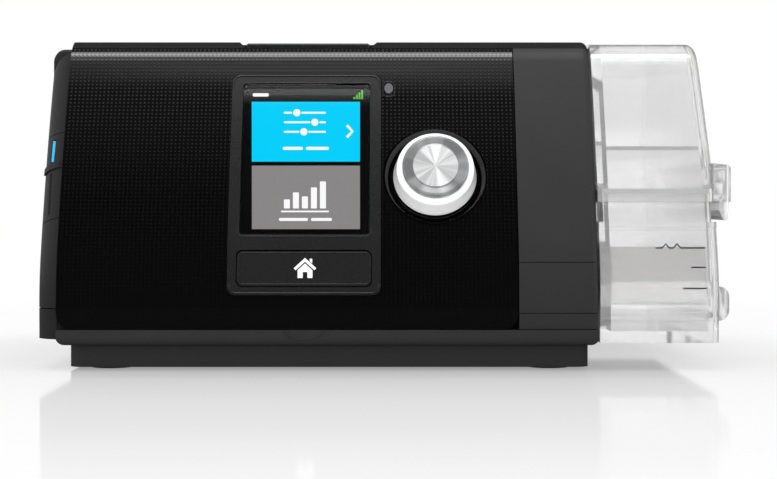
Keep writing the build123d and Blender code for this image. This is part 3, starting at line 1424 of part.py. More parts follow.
NODES = {
    "bottom_case": bottom_case,
    "rubber_feet": rubber_feet,
    "case_screws": case_screws,
    "rear_housing": rear_housing,
    "front_fascia": front_fascia,
    "dock_front_cover": dock_front_cover,
    "dock_strip": dock_strip,
    "dock_lower_trim": dock_lower_trim,
    "screen_bezel": screen_bezel,
    "screen_lens": screen_lens,
    "lcd_module": lcd_module,
    "home_button": home_button,
    "display_board": display_board,
    "home_switch": home_switch,
    "light_sensor": light_sensor,
    "start_button": start_button,
    "start_switch": start_switch,
    "dial_well": dial_well,
    "dial_skirt": dial_skirt,
    "dial_cap": dial_cap,
    "dial_shaft": dial_shaft,
    "dial_plunger": dial_plunger,
    "dial_encoder": dial_encoder,
    "status_light": status_light,
    "end_panel": end_panel,
    "lower_panel": lower_panel,
    "sd_cover": sd_cover,
    "sd_card": sd_card,
    "card_reader": card_reader,
    "filter_cover": filter_cover,
    "air_filter": air_filter,
    "adapter_cover": adapter_cover,
    "adapter_socket": adapter_socket,
    "dock_sleeve": dock_sleeve,
    "heater_plate": heater_plate,
    "heater_foil": heater_foil,
    "port_seals": port_seals,
    "tub_base": tub_base,
    "conduction_plate": conduction_plate,
    "tub_seal": tub_seal,
    "tub_lid": tub_lid,
    "tub_baffle": tub_baffle,
    "blower_lower": blower_lower,
    "blower_upper": blower_upper,
    "impeller": impeller,
    "motor_shaft": motor_shaft,
    "blower_motor": blower_motor,
    "blower_suspension": blower_suspension,
    "sound_foam": sound_foam,
    "inlet_duct": inlet_duct,
    "outlet_duct": outlet_duct,
    "outlet_connector": outlet_connector,
    "power_inlet": power_inlet,
    "retention_clip": retention_clip,
    "main_board": main_board,
    "wireless_module": wireless_module,
    "flow_sensor": flow_sensor,
}


def write(name, made):
    shape = Compound(children=list(made)) if isinstance(made, (list, tuple)) else made
    shape.label = name
    export_step(shape, f"parts/{name}.step")


os.makedirs("parts", exist_ok=True)
for node_name, make in NODES.items():
    write(node_name, make())
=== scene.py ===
import json
import math

import bmesh
import bpy
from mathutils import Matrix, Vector
from mathutils.bvhtree import BVHTree
from mathutils.geometry import tessellate_polygon


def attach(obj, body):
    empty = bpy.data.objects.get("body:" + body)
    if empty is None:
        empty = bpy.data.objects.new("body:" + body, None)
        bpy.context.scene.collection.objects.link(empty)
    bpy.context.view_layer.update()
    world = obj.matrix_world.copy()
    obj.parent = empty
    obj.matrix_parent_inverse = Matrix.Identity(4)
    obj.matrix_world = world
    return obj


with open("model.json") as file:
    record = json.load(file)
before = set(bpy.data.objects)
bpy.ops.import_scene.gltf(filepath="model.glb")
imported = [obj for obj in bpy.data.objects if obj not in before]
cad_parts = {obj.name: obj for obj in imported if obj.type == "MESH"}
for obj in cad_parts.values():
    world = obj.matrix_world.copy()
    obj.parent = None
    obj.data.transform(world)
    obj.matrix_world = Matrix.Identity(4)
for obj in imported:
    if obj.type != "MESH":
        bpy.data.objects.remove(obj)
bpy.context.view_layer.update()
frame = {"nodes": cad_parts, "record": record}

MM = 0.001
NODES = frame["nodes"]

# Where the camera stands, in millimetres, its focal length in pixels and the pixel straight ahead of it
EYE = Vector((0, -615, 48))
FOCAL = 1885
PICTURE_W, PICTURE_H = 777, 479
AXIS_PX = (385.0, 203.9)

# The machine's side profile, in millimetres
FRONT, BACK = -74.2, 65.0
BEND_START, LOWER_R, LOWER_TILT = 17.5, 62.0, math.radians(19)
HEIGHT, UPPER_TILT, CREST_R = 97.4, math.radians(28), 12.0
LOWER_END = BEND_START + LOWER_R * math.sin(LOWER_TILT)
CREST_START = HEIGHT - CREST_R * (1 - math.sin(UPPER_TILT))
UPPER_R = (CREST_START - LOWER_END) / (math.sin(UPPER_TILT) - math.sin(LOWER_TILT))
LOWER_RUN = LOWER_R * (1 - math.cos(LOWER_TILT))
CREST_Y = FRONT + LOWER_RUN + UPPER_R * (math.cos(LOWER_TILT) - math.cos(UPPER_TILT))
CREST_CENTRE = (CREST_Y + CREST_R * math.cos(UPPER_TILT), HEIGHT - CREST_R)

# The dial's middle and the radius of its bright disc, then the lens's middle height, half its height and
# how far its head leans back, in millimetres
DIAL_X, DIAL_Z, DIAL_DISC_R = 14.6, 56.2, 6.5
LENS_MID, LENS_HALF, LENS_CROWN = 61.4, 22.3, 0.7


def face_tilt(z):
    """How far the front face leans back at height z, in radians."""
    if z <= BEND_START:
        return 0.0
    if z <= LOWER_END:
        return math.asin((z - BEND_START) / LOWER_R)
    return math.asin(math.sin(LOWER_TILT) + (z - LOWER_END) / UPPER_R)


def face_y(z):
    """Place of the front face at height z, in millimetres."""
    tilt = face_tilt(z)
    if z <= LOWER_END:
        return FRONT + LOWER_R * (1 - math.cos(tilt))
    return FRONT + LOWER_RUN + UPPER_R * (math.cos(LOWER_TILT) - math.cos(tilt))


DIAL_AXIS = (0, -math.cos(face_tilt(DIAL_Z)), math.sin(face_tilt(DIAL_Z)))
DIAL_CENTRE = (DIAL_X * MM, face_y(DIAL_Z) * MM, DIAL_Z * MM)


# ---------------------------------------------------------------- nodes


class Nodes:
    """Short calls that add and wire the nodes of one tree."""

    def __init__(self, tree):
        self.tree = tree

    def add(self, kind, *values, **settings):
        """A new node, with values or links for its first sockets."""
        node = self.tree.nodes.new(kind)
        for key, value in settings.items():
            setattr(node, key, value)
        for socket, value in zip(node.inputs, values):
            self.wire(socket, value)
        return node

    def wire(self, socket, value):
        """Link a socket to another one, or give it a fixed value."""
        if isinstance(value, bpy.types.NodeSocket):
            self.tree.links.new(value, socket)
        else:
            socket.default_value = value

    def math(self, operation, *values):
        return self.add("ShaderNodeMath", *values, operation=operation).outputs[0]

    def vector(self, operation, *values):
        node = self.add("ShaderNodeVectorMath", *values, operation=operation)
        return node.outputs["Value" if operation == "LENGTH" else "Vector"]

    def split(self, vector):
        return self.add("ShaderNodeSeparateXYZ", vector).outputs

    def span(self, value, low, high, to_low, to_high, **settings):
        """Goes from to_low to to_high as the value goes from low to high."""
        return self.add("ShaderNodeMapRange", value, low, high, to_low, to_high, **settings).outputs[0]

    def fade(self, value, low, high, to_low, to_high):
        """The same, with soft ends."""
        return self.span(value, low, high, to_low, to_high, interpolation_type="SMOOTHSTEP")

    def wave(self, value, pitch):
        """From -1 to 1 and back once each pitch."""
        return self.math("SINE", self.math("MULTIPLY", value, 2 * math.pi / pitch))

    def either(self, factor, first, second):
        """first where factor is 0 and second where it is 1."""
        rest = self.math("MULTIPLY", first, self.math("SUBTRACT", 1.0, factor))
        return self.math("ADD", rest, self.math("MULTIPLY", second, factor))

    def mix(self, factor, first, second):
        """The same for shaders."""
        return self.add("ShaderNodeMixShader", factor, first, second).outputs[0]

    def emission(self, strength):
        return self.add("ShaderNodeEmission", (1, 1, 1, 1), strength).outputs[0]

    def diffuse(self, level):
        return self.add("ShaderNodeBsdfDiffuse", (level, level, level, 1)).outputs[0]


class Finish(Nodes):
    """A material with one Principled shader, and short calls for what feeds it."""

    def __init__(self, name, color, roughness, **sockets):
        self.material = bpy.data.materials.new(name)
        self.material.use_nodes = True
        super().__init__(self.material.node_tree)
        self.shader = self.tree.nodes["Principled BSDF"]
        self.place = self.add("ShaderNodeTexCoord").outputs["Object"]
        self.put("Base Color", (*color, 1))
        self.put("Roughness", roughness)
        for socket, value in sockets.items():
            self.put(socket.replace("_", " "), value)

    def put(self, socket, value):
        self.wire(self.shader.inputs[socket], value)

    def noise(self, scale, detail=2.0, stretch=(1, 1, 1), place=None):
        """Soft noise from 0 to 1, scale features to the metre."""
        mapping = self.add("ShaderNodeMapping")
        self.wire(mapping.inputs["Vector"], place or self.place)
        mapping.inputs["Scale"].default_value = stretch
        node = self.add("ShaderNodeTexNoise", mapping.outputs[0])
        node.inputs["Scale"].default_value = scale
        node.inputs["Detail"].default_value = detail
        return node.outputs["Fac"]

    def blend(self, factor, first, second):
        """first colour where factor is 0 and second where it is 1."""
        node = self.add("ShaderNodeMix", data_type="RGBA")
        self.wire(node.inputs["Factor"], factor)
        for name, value in (("A", first), ("B", second)):
            socket = [s for s in node.inputs if s.name == name and s.type == "RGBA"][0]
            self.wire(socket, value if isinstance(value, bpy.types.NodeSocket) else (*value, 1))
        return [s for s in node.outputs if s.type == "RGBA"][0]

    def bump(self, height, distance, strength=1.0):
        node = self.add("ShaderNodeBump")
        self.wire(node.inputs["Height"], height)
        node.inputs["Distance"].default_value = distance
        node.inputs["Strength"].default_value = strength
        self.put("Normal", node.outputs[0])

    def vary(self, color, share, scale):
        """Slightly lighter and darker patches of the base colour."""
        low, high = shade(color, 1 - share), shade(color, 1 + share)
        self.put("Base Color", self.blend(self.noise(scale), low, high))
        return self


def shade(color, factor):
    """A lighter or darker shade of a colour."""
    return tuple(min(1.0, c * factor) for c in color)


# ---------------------------------------------------------------- materials

# Most of a noise lies between these values. The narrower they are, the harder its patches
SOFT_NOISE, FIRM_NOISE, HARD_NOISE = (0.3, 0.7), (0.35, 0.65), (0.4, 0.6)


def moulded(name, color, roughness, grain=0.012, **sockets):
    """Moulded plastic with the fine spark-eroded grain of its tool, grain millimetres deep."""
    spread = 0.06
    finish = Finish(name, color, roughness, **sockets)
    finish.vary(color, share=0.12, scale=60)
    fine = finish.noise(scale=3200, detail=1.0)
    finish.put("Roughness", finish.span(fine, *SOFT_NOISE, roughness - spread, roughness + spread))
    finish.bump(fine, grain * MM)
    return finish


def run_up_face(finish, y, z):
    """How far up the face a point lies, along its slope and round its crest, in metres."""
    centre_y, centre_z = (c * MM for c in CREST_CENTRE)
    angle = finish.math("ARCTAN2", finish.math("SUBTRACT", z, centre_z), finish.math("SUBTRACT", centre_y, y))
    crest_run = finish.math("MULTIPLY", finish.math("SUBTRACT", angle, UPPER_TILT), CREST_R * MM)
    slope = math.cos((LOWER_TILT + UPPER_TILT) / 2)
    face_run = finish.math("DIVIDE", finish.math("SUBTRACT", z, CREST_START * MM), slope)
    return finish.either(finish.math("GREATER_THAN", z, CREST_START * MM), face_run, crest_run)


def dotted_gloss(name, color, dot_color, pitch, dot_r):
    """High gloss plastic with a square grid of fine matt dimples that follows the curved face."""
    dot_inner, dot_outer, dot_depth = 0.75 * dot_r, 1.15 * dot_r, 0.03 * MM
    gloss_low, gloss_high, dot_roughness = 0.035, 0.06, 0.26
    finish = Finish(name, color, 0.05, Specular_IOR_Level=0.5)
    x, y, z = finish.split(finish.place)
    squares = []
    for run in (x, run_up_face(finish, y, z)):
        in_cell = finish.math("SUBTRACT", finish.math("FRACT", finish.math("DIVIDE", run, pitch)), 0.5)
        squares.append(finish.math("POWER", in_cell, 2.0))
    away = finish.math("SQRT", finish.math("ADD", *squares))
    dot = finish.span(away, dot_inner / pitch, dot_outer / pitch, 1.0, 0.0)
    gloss = finish.span(finish.noise(scale=90, detail=3.0), *FIRM_NOISE, gloss_low, gloss_high)
    finish.put("Base Color", finish.blend(dot, color, dot_color))
    finish.put("Roughness", finish.span(dot, 0.0, 1.0, gloss, dot_roughness))
    finish.bump(finish.math("MULTIPLY", dot, -1.0), dot_depth, strength=0.5)
    return finish


def turned_metal(name, disc_color, ring_color, disc_r, roughness, centre, axis):
    """Metal faced on a lathe: a bright disc inside a darker ring and fine rings. The fan of reflections that
    the rings throw is painted into its colour as light and dark streaks.
    """
    ring_pitch, fine_pitch, fine_share = 0.62 * MM, 0.17 * MM, 0.35
    disc_edge, groove_depth = 0.05 * MM, 0.006 * MM
    # Shares of the painted highlight fan and of the painted ring bands in the disc's colour
    painted_fan_share, ring_share = 0.8, 0.2
    finish = Finish(name, disc_color, roughness, Metallic=0.5, Anisotropic=0.9)
    out = finish.vector("SUBTRACT", finish.place, centre)
    around = finish.vector("CROSS_PRODUCT", axis, out)
    finish.put("Tangent", finish.vector("NORMALIZE", finish.vector("CROSS_PRODUCT", around, axis)))
    radius = finish.vector("LENGTH", around)
    rings = finish.wave(radius, ring_pitch)
    groove = finish.math("ADD", rings, finish.math("MULTIPLY", finish.wave(radius, fine_pitch), fine_share))
    in_disc = finish.span(radius, disc_r - disc_edge, disc_r + disc_edge, 1.0, 0.0)
    finish.bump(finish.math("MULTIPLY", groove, in_disc), groove_depth, strength=0.5)
    # Painted highlights: streaks that fan out from the middle and bands along the rings stand in for
    # reflections. Disc and ring each blend a darker, painted-shade copy of their colour with the lit one
    direction = finish.vector("NORMALIZE", around)
    painted_disc_fan = finish.noise(scale=2.3, detail=3.0, place=direction)
    painted_ring_fan = finish.noise(scale=1.1, detail=2.0, place=direction)
    painted_streak = finish.span(painted_disc_fan, *HARD_NOISE, 0.0, painted_fan_share)
    painted_light_tone = finish.math("ADD", painted_streak, finish.span(rings, -1.0, 1.0, 0.0, ring_share))
    disc = finish.blend(painted_light_tone, shade(disc_color, 0.58), disc_color)
    ring = finish.blend(finish.span(painted_ring_fan, *HARD_NOISE, 0.0, 1.0), shade(ring_color, 0.5), ring_color)
    finish.put("Base Color", finish.blend(in_disc, ring, disc))
    return finish


def clear_plastic(name, color, roughness, ior, haze):
    """Clear moulded plastic with a light haze and faint flow marks."""
    spread = 0.3
    finish = Finish(name, color, roughness, IOR=ior, Transmission_Weight=1.0 - haze, Coat_Weight=0.6)
    cloud = finish.noise(scale=140, detail=3.0, stretch=(1, 1, 0.35))
    low, high = roughness * (1 - spread), roughness * (1 + spread)
    finish.put("Roughness", finish.span(cloud, *SOFT_NOISE, low, high))
    finish.bump(cloud, 0.05 * MM, strength=0.25)
    return finish


def crowned_glass(name, z_mid, z_half, crown):
    """Clear gloss lens whose face leans back a little near its head."""
    finish = Finish(name, (1, 1, 1), 0.01, IOR=1.35, Transmission_Weight=1.0)
    up = finish.math("DIVIDE", finish.math("SUBTRACT", finish.split(finish.place)[2], z_mid), z_half)
    near_head = finish.math("POWER", finish.math("MAXIMUM", up, 0.0), 4.0)
    finish.bump(finish.math("MULTIPLY", near_head, -1.0), crown)
    return finish


def fibres(name, color, scale, depth):
    """Matted fibres or open foam, depth millimetres deep."""
    finish = Finish(name, color, 0.9)
    finish.vary(color, share=0.2, scale=scale / 3)
    finish.bump(finish.noise(scale, detail=6.0), depth * MM)
    return finish


def glowing(name, color, strength):
    """A lit patch of the display, with its fine pixel rows."""
    row_pitch = 0.16 * MM
    finish = Finish(name, (0, 0, 0), 0.6, Specular_IOR_Level=0.0)
    rows = finish.wave(finish.split(finish.place)[2], row_pitch)
    lit = finish.span(rows, -1.0, 1.0, 0.97, 1.0)
    finish.put("Emission Color", finish.blend(lit, shade(color, 0.9), color))
    finish.put("Emission Strength", strength)
    return finish


SATIN = (0.021, 0.021, 0.0215)
GLOSS, GLOSS_DOT = (0.0014, 0.0014, 0.0014), (0.0024, 0.0024, 0.0024)
KEY = (0.011, 0.011, 0.0115)
CASE = (0.0215, 0.0215, 0.0225)
# Painted shade: a darker copy of the case plastic, for the rear housing and the left end's panels where less
# light falls
PAINTED_SHADE_CASE = (0.0115, 0.0115, 0.012)
DISPLAY = (0.003, 0.003, 0.0035)
DISC, DISC_RING = (0.97, 0.98, 0.98), (0.44, 0.45, 0.46)
CARD_BLUE = (0.012, 0.42, 0.73)
TUB_TINT = (0.945, 0.945, 0.945)

# Finishes of the record's material slots
FINISHES = {
    "black_satin": moulded("satin_black_plastic", SATIN, 0.5, Specular_IOR_Level=0.35),
    "black_gloss": dotted_gloss("dotted_gloss_plastic", GLOSS, GLOSS_DOT, pitch=1.22 * MM, dot_r=0.3 * MM),
    "key_black": moulded("key_plastic", KEY, 0.3, grain=0.004, Specular_IOR_Level=0.5),
    "case_black": moulded("case_plastic", CASE, 0.55, Specular_IOR_Level=0.3),
    "inner_grey": moulded("inner_plastic", (0.05, 0.05, 0.052), 0.5),
    "display": Finish("dark_display", DISPLAY, 0.6, Specular_IOR_Level=0.0).vary(DISPLAY, 0.1, 400),
    "skirt_white": moulded("white_gloss_plastic", (0.93, 0.93, 0.935), 0.22, grain=0.002, Coat_Weight=0.5),
    # The cap's colour carries a painted fan of highlights and shade
    "cap_metal": turned_metal(
        "turned_aluminium_painted_fan", DISC, DISC_RING, DIAL_DISC_R * MM, 0.3, centre=DIAL_CENTRE, axis=DIAL_AXIS
    ),
    "silicone": moulded("silicone", (0.45, 0.46, 0.46), 0.45, Subsurface_Weight=0.2, Subsurface_Scale=0.002),
    "rubber_black": moulded("rubber", (0.018, 0.018, 0.018), 0.75, grain=0.03),
    "steel": moulded("bright_steel", (0.55, 0.55, 0.56), 0.28, grain=0.004, Metallic=1.0),
    "heater_metal": moulded("heater_aluminium", (0.62, 0.62, 0.63), 0.35, grain=0.01, Metallic=1.0),
    "foil": moulded("polyimide_foil", (0.42, 0.16, 0.03), 0.3, grain=0.01),
    "board": moulded("circuit_board", (0.012, 0.08, 0.03), 0.4, grain=0.02),
    "chip": moulded("chip_resin", (0.02, 0.02, 0.022), 0.5, grain=0.01),
    "motor_can": moulded("motor_can_steel", (0.35, 0.35, 0.36), 0.35, grain=0.01, Metallic=1.0),
    "foam": fibres("sound_foam_grey", (0.06, 0.06, 0.065), scale=900, depth=0.5),
    "filter_white": fibres("filter_fibres", (0.72, 0.73, 0.72), scale=2600, depth=0.25),
    "card_blue": moulded("card_plastic", CARD_BLUE, 0.35, grain=0.004),
    "lamp_green": glowing("lamp_green", (0.02, 0.3, 0.12), strength=0.25),
    "tub_clear": clear_plastic("clear_tub_plastic", TUB_TINT, 0.08, ior=1.36, haze=0.2),
    "lens_clear": crowned_glass("screen_lens_glass", LENS_MID * MM, LENS_HALF * MM, LENS_CROWN * MM),
}

# Finishes that only the scene has. Two of them are the case plastic with painted shade
EXTRAS = {
    "house_white": moulded("printed_white", (0.85, 0.85, 0.85), 0.45, grain=0.002),
    "mark_grey": moulded("printed_grey", (0.015, 0.015, 0.015), 0.5, grain=0.002),
    # Painted shade: the case plastic made darker on the rear housing and on the left end
    "rear_case_painted_shade": moulded("rear_case_plastic", PAINTED_SHADE_CASE, 0.5, Specular_IOR_Level=0.12),
    "end_case_painted_shade": moulded("end_case_plastic", PAINTED_SHADE_CASE, 0.5, Specular_IOR_Level=0.25),
    "sensor_window": moulded("sensor_window", (0.1, 0.102, 0.105), 0.12, grain=0.002),
    "tile_blue": glowing("tile_blue", (0.0, 0.65, 1.0), strength=1.0),
    "tile_grey": glowing("tile_grey", (0.26, 0.25, 0.25), strength=1.0),
    "sign_white": glowing("sign_white", (1.0, 1.0, 1.0), strength=1.0),
    "sign_green": glowing("sign_green", (0.12, 0.55, 0.05), strength=1.0),
}
NODES_WITH_EXTRAS = {
    "rear_case_painted_shade": ("rear_housing", "adapter_cover", "outlet_connector", "retention_clip"),
    "end_case_painted_shade": ("end_panel", "lower_panel", "sd_cover"),
    "sensor_window": ("light_sensor",),
}


def dress_nodes():
    """Each CAD node gets the finish of its slot, or one that only the scene has."""
    for part in frame["record"]["subparts"]:
        materials = NODES[part["node"]].data.materials
        materials.clear()
        materials.append(FINISHES[part["material_slot"]].material)
    for finish, names in NODES_WITH_EXTRAS.items():
        for name in names:
            NODES[name].data.materials[0] = EXTRAS[finish].material


dress_nodes()


# ---------------------------------------------------------------- how pieces are placed on the solids

TREES = {}

# How far in front of the face a search line starts, and how thick a print or a lit patch is, in millimetres
CLEAR_OF_FACE, PRINT_T = 60.0, 0.03


def surface_of(node):
    """A CAD node's surface, in a form that lines can be met with."""
    if node not in TREES:
        mesh = NODES[node].data
        corners = [v.co.copy() for v in mesh.vertices]
        TREES[node] = BVHTree.FromPolygons(corners, [tuple(p.vertices) for p in mesh.polygons])
    return TREES[node]


def meet(node, start, way):
    """Where a line first meets a CAD node, and the node's normal there, turned to the front."""
    spot, normal, _, _ = surface_of(node).ray_cast(start, way)
    if spot is None:
        raise ValueError(f"{node} isn't met from {tuple(start)}")
    return spot, normal if normal.y < 0 else -normal


def onto(node, px, py):
    """Where the camera's line of sight through a point of the picture meets a CAD node."""
    way = Vector(((px - AXIS_PX[0]) / FOCAL, 1, (AXIS_PX[1] - py) / FOCAL)).normalized()
    return meet(node, EYE * MM, way)


def on_face(node, x, z):
    """Where a line straight back at x and z, in millimetres, meets a CAD node."""
    return meet(node, Vector((x, FRONT - CLEAR_OF_FACE, z)) * MM, Vector((0, 1, 0)))


def mesh_object(name, corners, faces, material, body):
    """A closed piece of the scene that rides on a body, its faces turned outwards."""
    mesh = bpy.data.meshes.new(name)
    mesh.from_pydata([tuple(c) for c in corners], [], faces)
    shape = bmesh.new()
    shape.from_mesh(mesh)
    bmesh.ops.recalc_face_normals(shape, faces=shape.faces)
    shape.to_mesh(mesh)
    shape.free()
    mesh.materials.append(material)
    piece = bpy.data.objects.new(name, mesh)
    bpy.context.scene.collection.objects.link(piece)
    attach(piece, body)
    return piece


def patch(name, node, outlines, material, body, lift):
    """A thin printed or lit shape that lies on a CAD node, from outlines in the picture."""
    corners, faces = [], []
    for outline in outlines:
        spots = [onto(node, px, py) for px, py in outline]
        low = [spot + normal * lift * MM for spot, normal in spots]
        high = [spot + normal * (lift + PRINT_T) * MM for spot, normal in spots]
        start, count = len(corners), len(outline)
        corners += low + high
        flat = [Vector((px, -py, 0)) for px, py in outline]
        for a, b, c in tessellate_polygon([flat]):
            faces.append((start + count + a, start + count + b, start + count + c))
            faces.append((start + c, start + b, start + a))
        for i in range(count):
            j = (i + 1) % count
            faces.append((start + i, start + j, start + count + j, start + count + i))
    mesh_object(name, corners, faces, material, body).data.validate()


def box_outline(x0, y0, x1, y1, radius=0.0, steps=4):
    """A rectangle, its corners rounded if a radius is given."""
    if not radius:
        return [(x0, y0), (x1, y0), (x1, y1), (x0, y1)]
    points = []
    for cx, cy, start in ((x1, y1, 0), (x0, y1, 90), (x0, y0, 180), (x1, y0, 270)):
        middle_x = cx - radius if cx == x1 else cx + radius
        middle_y = cy - radius if cy == y1 else cy + radius
        for i in range(steps + 1):
            angle = math.radians(start + 90 * i / steps)
            points.append((middle_x + radius * math.cos(angle), middle_y + radius * math.sin(angle)))
    return points


def disc_outline(cx, cy, radius, steps=20):
    """A round outline."""
    angles = [2 * math.pi * i / steps for i in range(steps)]
    return [(cx + radius * math.cos(angle), cy + radius * math.sin(angle)) for angle in angles]


def stroke(points, width):
    """Outline of a line of even width through points."""
    left, right = [], []
    for i, (x, y) in enumerate(points):
        before, after = points[max(i - 1, 0)], points[min(i + 1, len(points) - 1)]
        dx, dy = after[0] - before[0], after[1] - before[1]
        length = math.hypot(dx, dy)
        nx, ny = -dy / length * width / 2, dx / length * width / 2
        left.append((x + nx, y + ny))
        right.append((x - nx, y - ny))
    return left + right[::-1]


# ---------------------------------------------------------------- rims

# Middle lines of the rims, as lowest x and z and highest x and z, and how far their edges are sunk, in
# millimetres
SENSOR_RIM = (-0.6, 79.9, 2.8, 84.4)
BEZEL_RIM = (-44.9, 22.3, -1.7, 86.2)
WINDOW_RIM = (-42.6, 38.6, -4.0, 84.1)
BUTTON_RIM = (-42.4, 24.9, -4.2, 33.9)
RIM_SINK = 0.02
RIM_CORNER_STEPS, RIM_ROUND_STEPS = 6, 6


def rim(name, node, body, box, corner_r, width, height):
    """A rounded bead that runs round a box on a CAD node, its edges sunk a little into the node."""
    outline = box_outline(*box, corner_r, RIM_CORNER_STEPS)
    spots = [on_face(node, x, z) for x, z in outline]
    count, row = len(spots), RIM_ROUND_STEPS + 1
    corners, faces = [], []
    for i, (spot, normal) in enumerate(spots):
        along_path = (spots[(i + 1) % count][0] - spots[i - 1][0]).normalized()
        aside = along_path.cross(normal).normalized()
        for j in range(row):
            angle = math.pi * j / RIM_ROUND_STEPS
            rise = (math.sin(angle) * height - RIM_SINK) * MM
            corners.append(spot + aside * math.cos(angle) * width / 2 * MM + normal * rise)
    for i in range(count):
        k = (i + 1) % count
        for j in range(row):
            m = (j + 1) % row
            faces.append((row * i + j, row * i + m, row * k + m, row * k + j))
    piece = mesh_object(name, corners, faces, FINISHES["key_black"].material, body)
    for polygon in piece.data.polygons:
        polygon.use_smooth = True


def rims():
    """Rounded rims of the light sensor, the bezel, its screen window and the home button."""
    rim("sensor_rim", "front_fascia", "housing", SENSOR_RIM, corner_r=1.2, width=0.4, height=0.2)
    rim("bezel_rim", "screen_bezel", "housing", BEZEL_RIM, corner_r=2.2, width=0.7, height=0.22)
    rim("window_rim", "screen_bezel", "housing", WINDOW_RIM, corner_r=1.5, width=0.5, height=0.16)
    rim("button_rim", "home_button", "home_key", BUTTON_RIM, corner_r=1.4, width=0.5, height=0.14)


# ---------------------------------------------------------------- memory card

# Lowest and highest end of the card's edge in its window, as y and z, its thickness, and how far out it
# reaches, in millimetres
CARD_TAB = ((-57.0, 60.3), (-53.8, 66.5))
CARD_TAB_T = 0.7
CARD_TAB_X = (-95.6, -98.6)


def card_edge():
    """The blue outer edge of the memory card, in the slanting window of its cover."""
    (low_y, low_z), (high_y, high_z) = CARD_TAB
    run = Vector((0, high_y - low_y, high_z - low_z)).normalized()
    half = Vector((0, run.z, -run.y)) * CARD_TAB_T / 2
    corners = []
    for x in CARD_TAB_X:
        low, high = Vector((x, low_y, low_z)), Vector((x, high_y, high_z))
        corners += [spot * MM for spot in (low - half, low + half, high + half, high - half)]
    faces = [(0, 1, 2, 3), (7, 6, 5, 4), (0, 4, 5, 1), (1, 5, 6, 2), (2, 6, 7, 3), (3, 7, 4, 0)]
    mesh_object("card_edge", corners, faces, FINISHES["card_blue"].material, "memory_card")


# ---------------------------------------------------------------- signs on the display and the home button

# How far a sign lies in front of what carries it, in millimetres
TILE_LIFT, SIGN_LIFT, PRINT_LIFT = 0.03, 0.07, 0.01

# The menu, in pixels of the picture. Each slider has its own height and its knob's place
TILE_X = (252, 360)
UPPER_TILE_Y, LOWER_TILE_Y = (102.6, 162.2), (166.2, 229.6)
SLIDER_X = (284, 326)
SLIDERS = ((113.5, 297), (123, 315), (132.5, 304))
TRACK_HALF, KNOB_R, KNOB_GAP = 0.9, 3.6, 1.0
NEXT_POINTS, NEXT_W = ((347, 126), (352.5, 132), (347, 138)), 2.6
BAR_X, BAR_FOOT, BAR_W, BAR_PITCH = 284, 209, 6, 9
BAR_HEIGHTS = (9, 16, 12, 21, 27)
BAR_BASE = (281, 211.2, 329, 212.8)
UPPER_LINES = ((283, 147.5, 303, 150.5), (306, 147.5, 329, 150.5))
LOWER_LINES = ((279, 218.5, 308, 221.5), (311, 218.5, 332, 221.5))
STATUS_LINE = (253, 94.2, 269, 97.4)
SIGNAL_X, SIGNAL_FOOT, SIGNAL_W, SIGNAL_PITCH, SIGNAL_RISE, SIGNAL_COUNT = 353.5, 100, 1.8, 2.6, 2.2, 4
BAR_CORNER, BASE_CORNER, LINE_CORNER = 0.8, 0.7, 1.4

# The house sign, in pixels of the picture
ROOF = ((305, 258), (316.2, 268.2), (314.4, 270.2), (305, 261.7), (295.6, 270.2), (293.8, 268.2))
WALLS = (
    (297.6, 270.2), (305, 263.5), (312.4, 270.2), (312.4, 278), (307.4, 278),
    (307.4, 272), (302.6, 272), (302.6, 278), (297.6, 278),
)
CHIMNEY = ((309.7, 258.8), (312.1, 258.8), (312.1, 263.4), (309.7, 261.2))


def display_sign(name, outlines, finish, lift=SIGN_LIFT):
    """A lit shape that lies on the display."""
    patch(name, "lcd_module", outlines, EXTRAS[finish].material, "housing", lift)


def tiles():
    """The menu's two tiles."""
    for name, (top, foot), finish in (
        ("menu_tile_upper", UPPER_TILE_Y, "tile_blue"),
        ("menu_tile_lower", LOWER_TILE_Y, "tile_grey"),
    ):
        display_sign(name, [box_outline(TILE_X[0], top, TILE_X[1], foot)], finish, TILE_LIFT)


def sliders():
    """Three sliders, each a track on both sides of its knob."""
    outlines = []
    for y, knob in SLIDERS:
        top, foot = y - TRACK_HALF, y + TRACK_HALF
        outlines.append(box_outline(SLIDER_X[0], top, knob - KNOB_R - KNOB_GAP, foot, BAR_CORNER))
        outlines.append(box_outline(knob + KNOB_R + KNOB_GAP, top, SLIDER_X[1], foot, BAR_CORNER))
        outlines.append(disc_outline(knob, y, KNOB_R))
    display_sign("sliders_sign", outlines, "sign_white")


def bars():
    """A small bar chart on its base."""
    outlines = []
    for i, tall in enumerate(BAR_HEIGHTS):
        left = BAR_X + BAR_PITCH * i
        outlines.append(box_outline(left, BAR_FOOT - tall, left + BAR_W, BAR_FOOT, BAR_CORNER))
    outlines.append(box_outline(*BAR_BASE, BASE_CORNER))
    display_sign("bars_sign", outlines, "sign_white")


def signal():
    """Bars of rising height for the strength of the wireless signal."""
    outlines = []
    for i in range(SIGNAL_COUNT):
        left = SIGNAL_X + SIGNAL_PITCH * i
        outlines.append(box_outline(left, SIGNAL_FOOT - SIGNAL_RISE * (i + 1), left + SIGNAL_W, SIGNAL_FOOT))
    display_sign("strength_sign", outlines, "sign_green")


def screen_signs():
    """A made-up menu: two tiles with plain signs, a status row and no words."""
    tiles()
    sliders()
    display_sign("next_sign", [stroke(NEXT_POINTS, NEXT_W)], "sign_white")
    bars()
    lines = [box_outline(*box, LINE_CORNER) for box in (*UPPER_LINES, *LOWER_LINES, STATUS_LINE)]
    display_sign("menu_lines", lines, "sign_white")
    signal()


def house_sign():
    """Plain house pictogram on the home button."""
    white = EXTRAS["house_white"].material
    patch("house_sign", "home_button", [ROOF, WALLS, CHIMNEY], white, "home_key", PRINT_LIFT)


# ---------------------------------------------------------------- tub and water

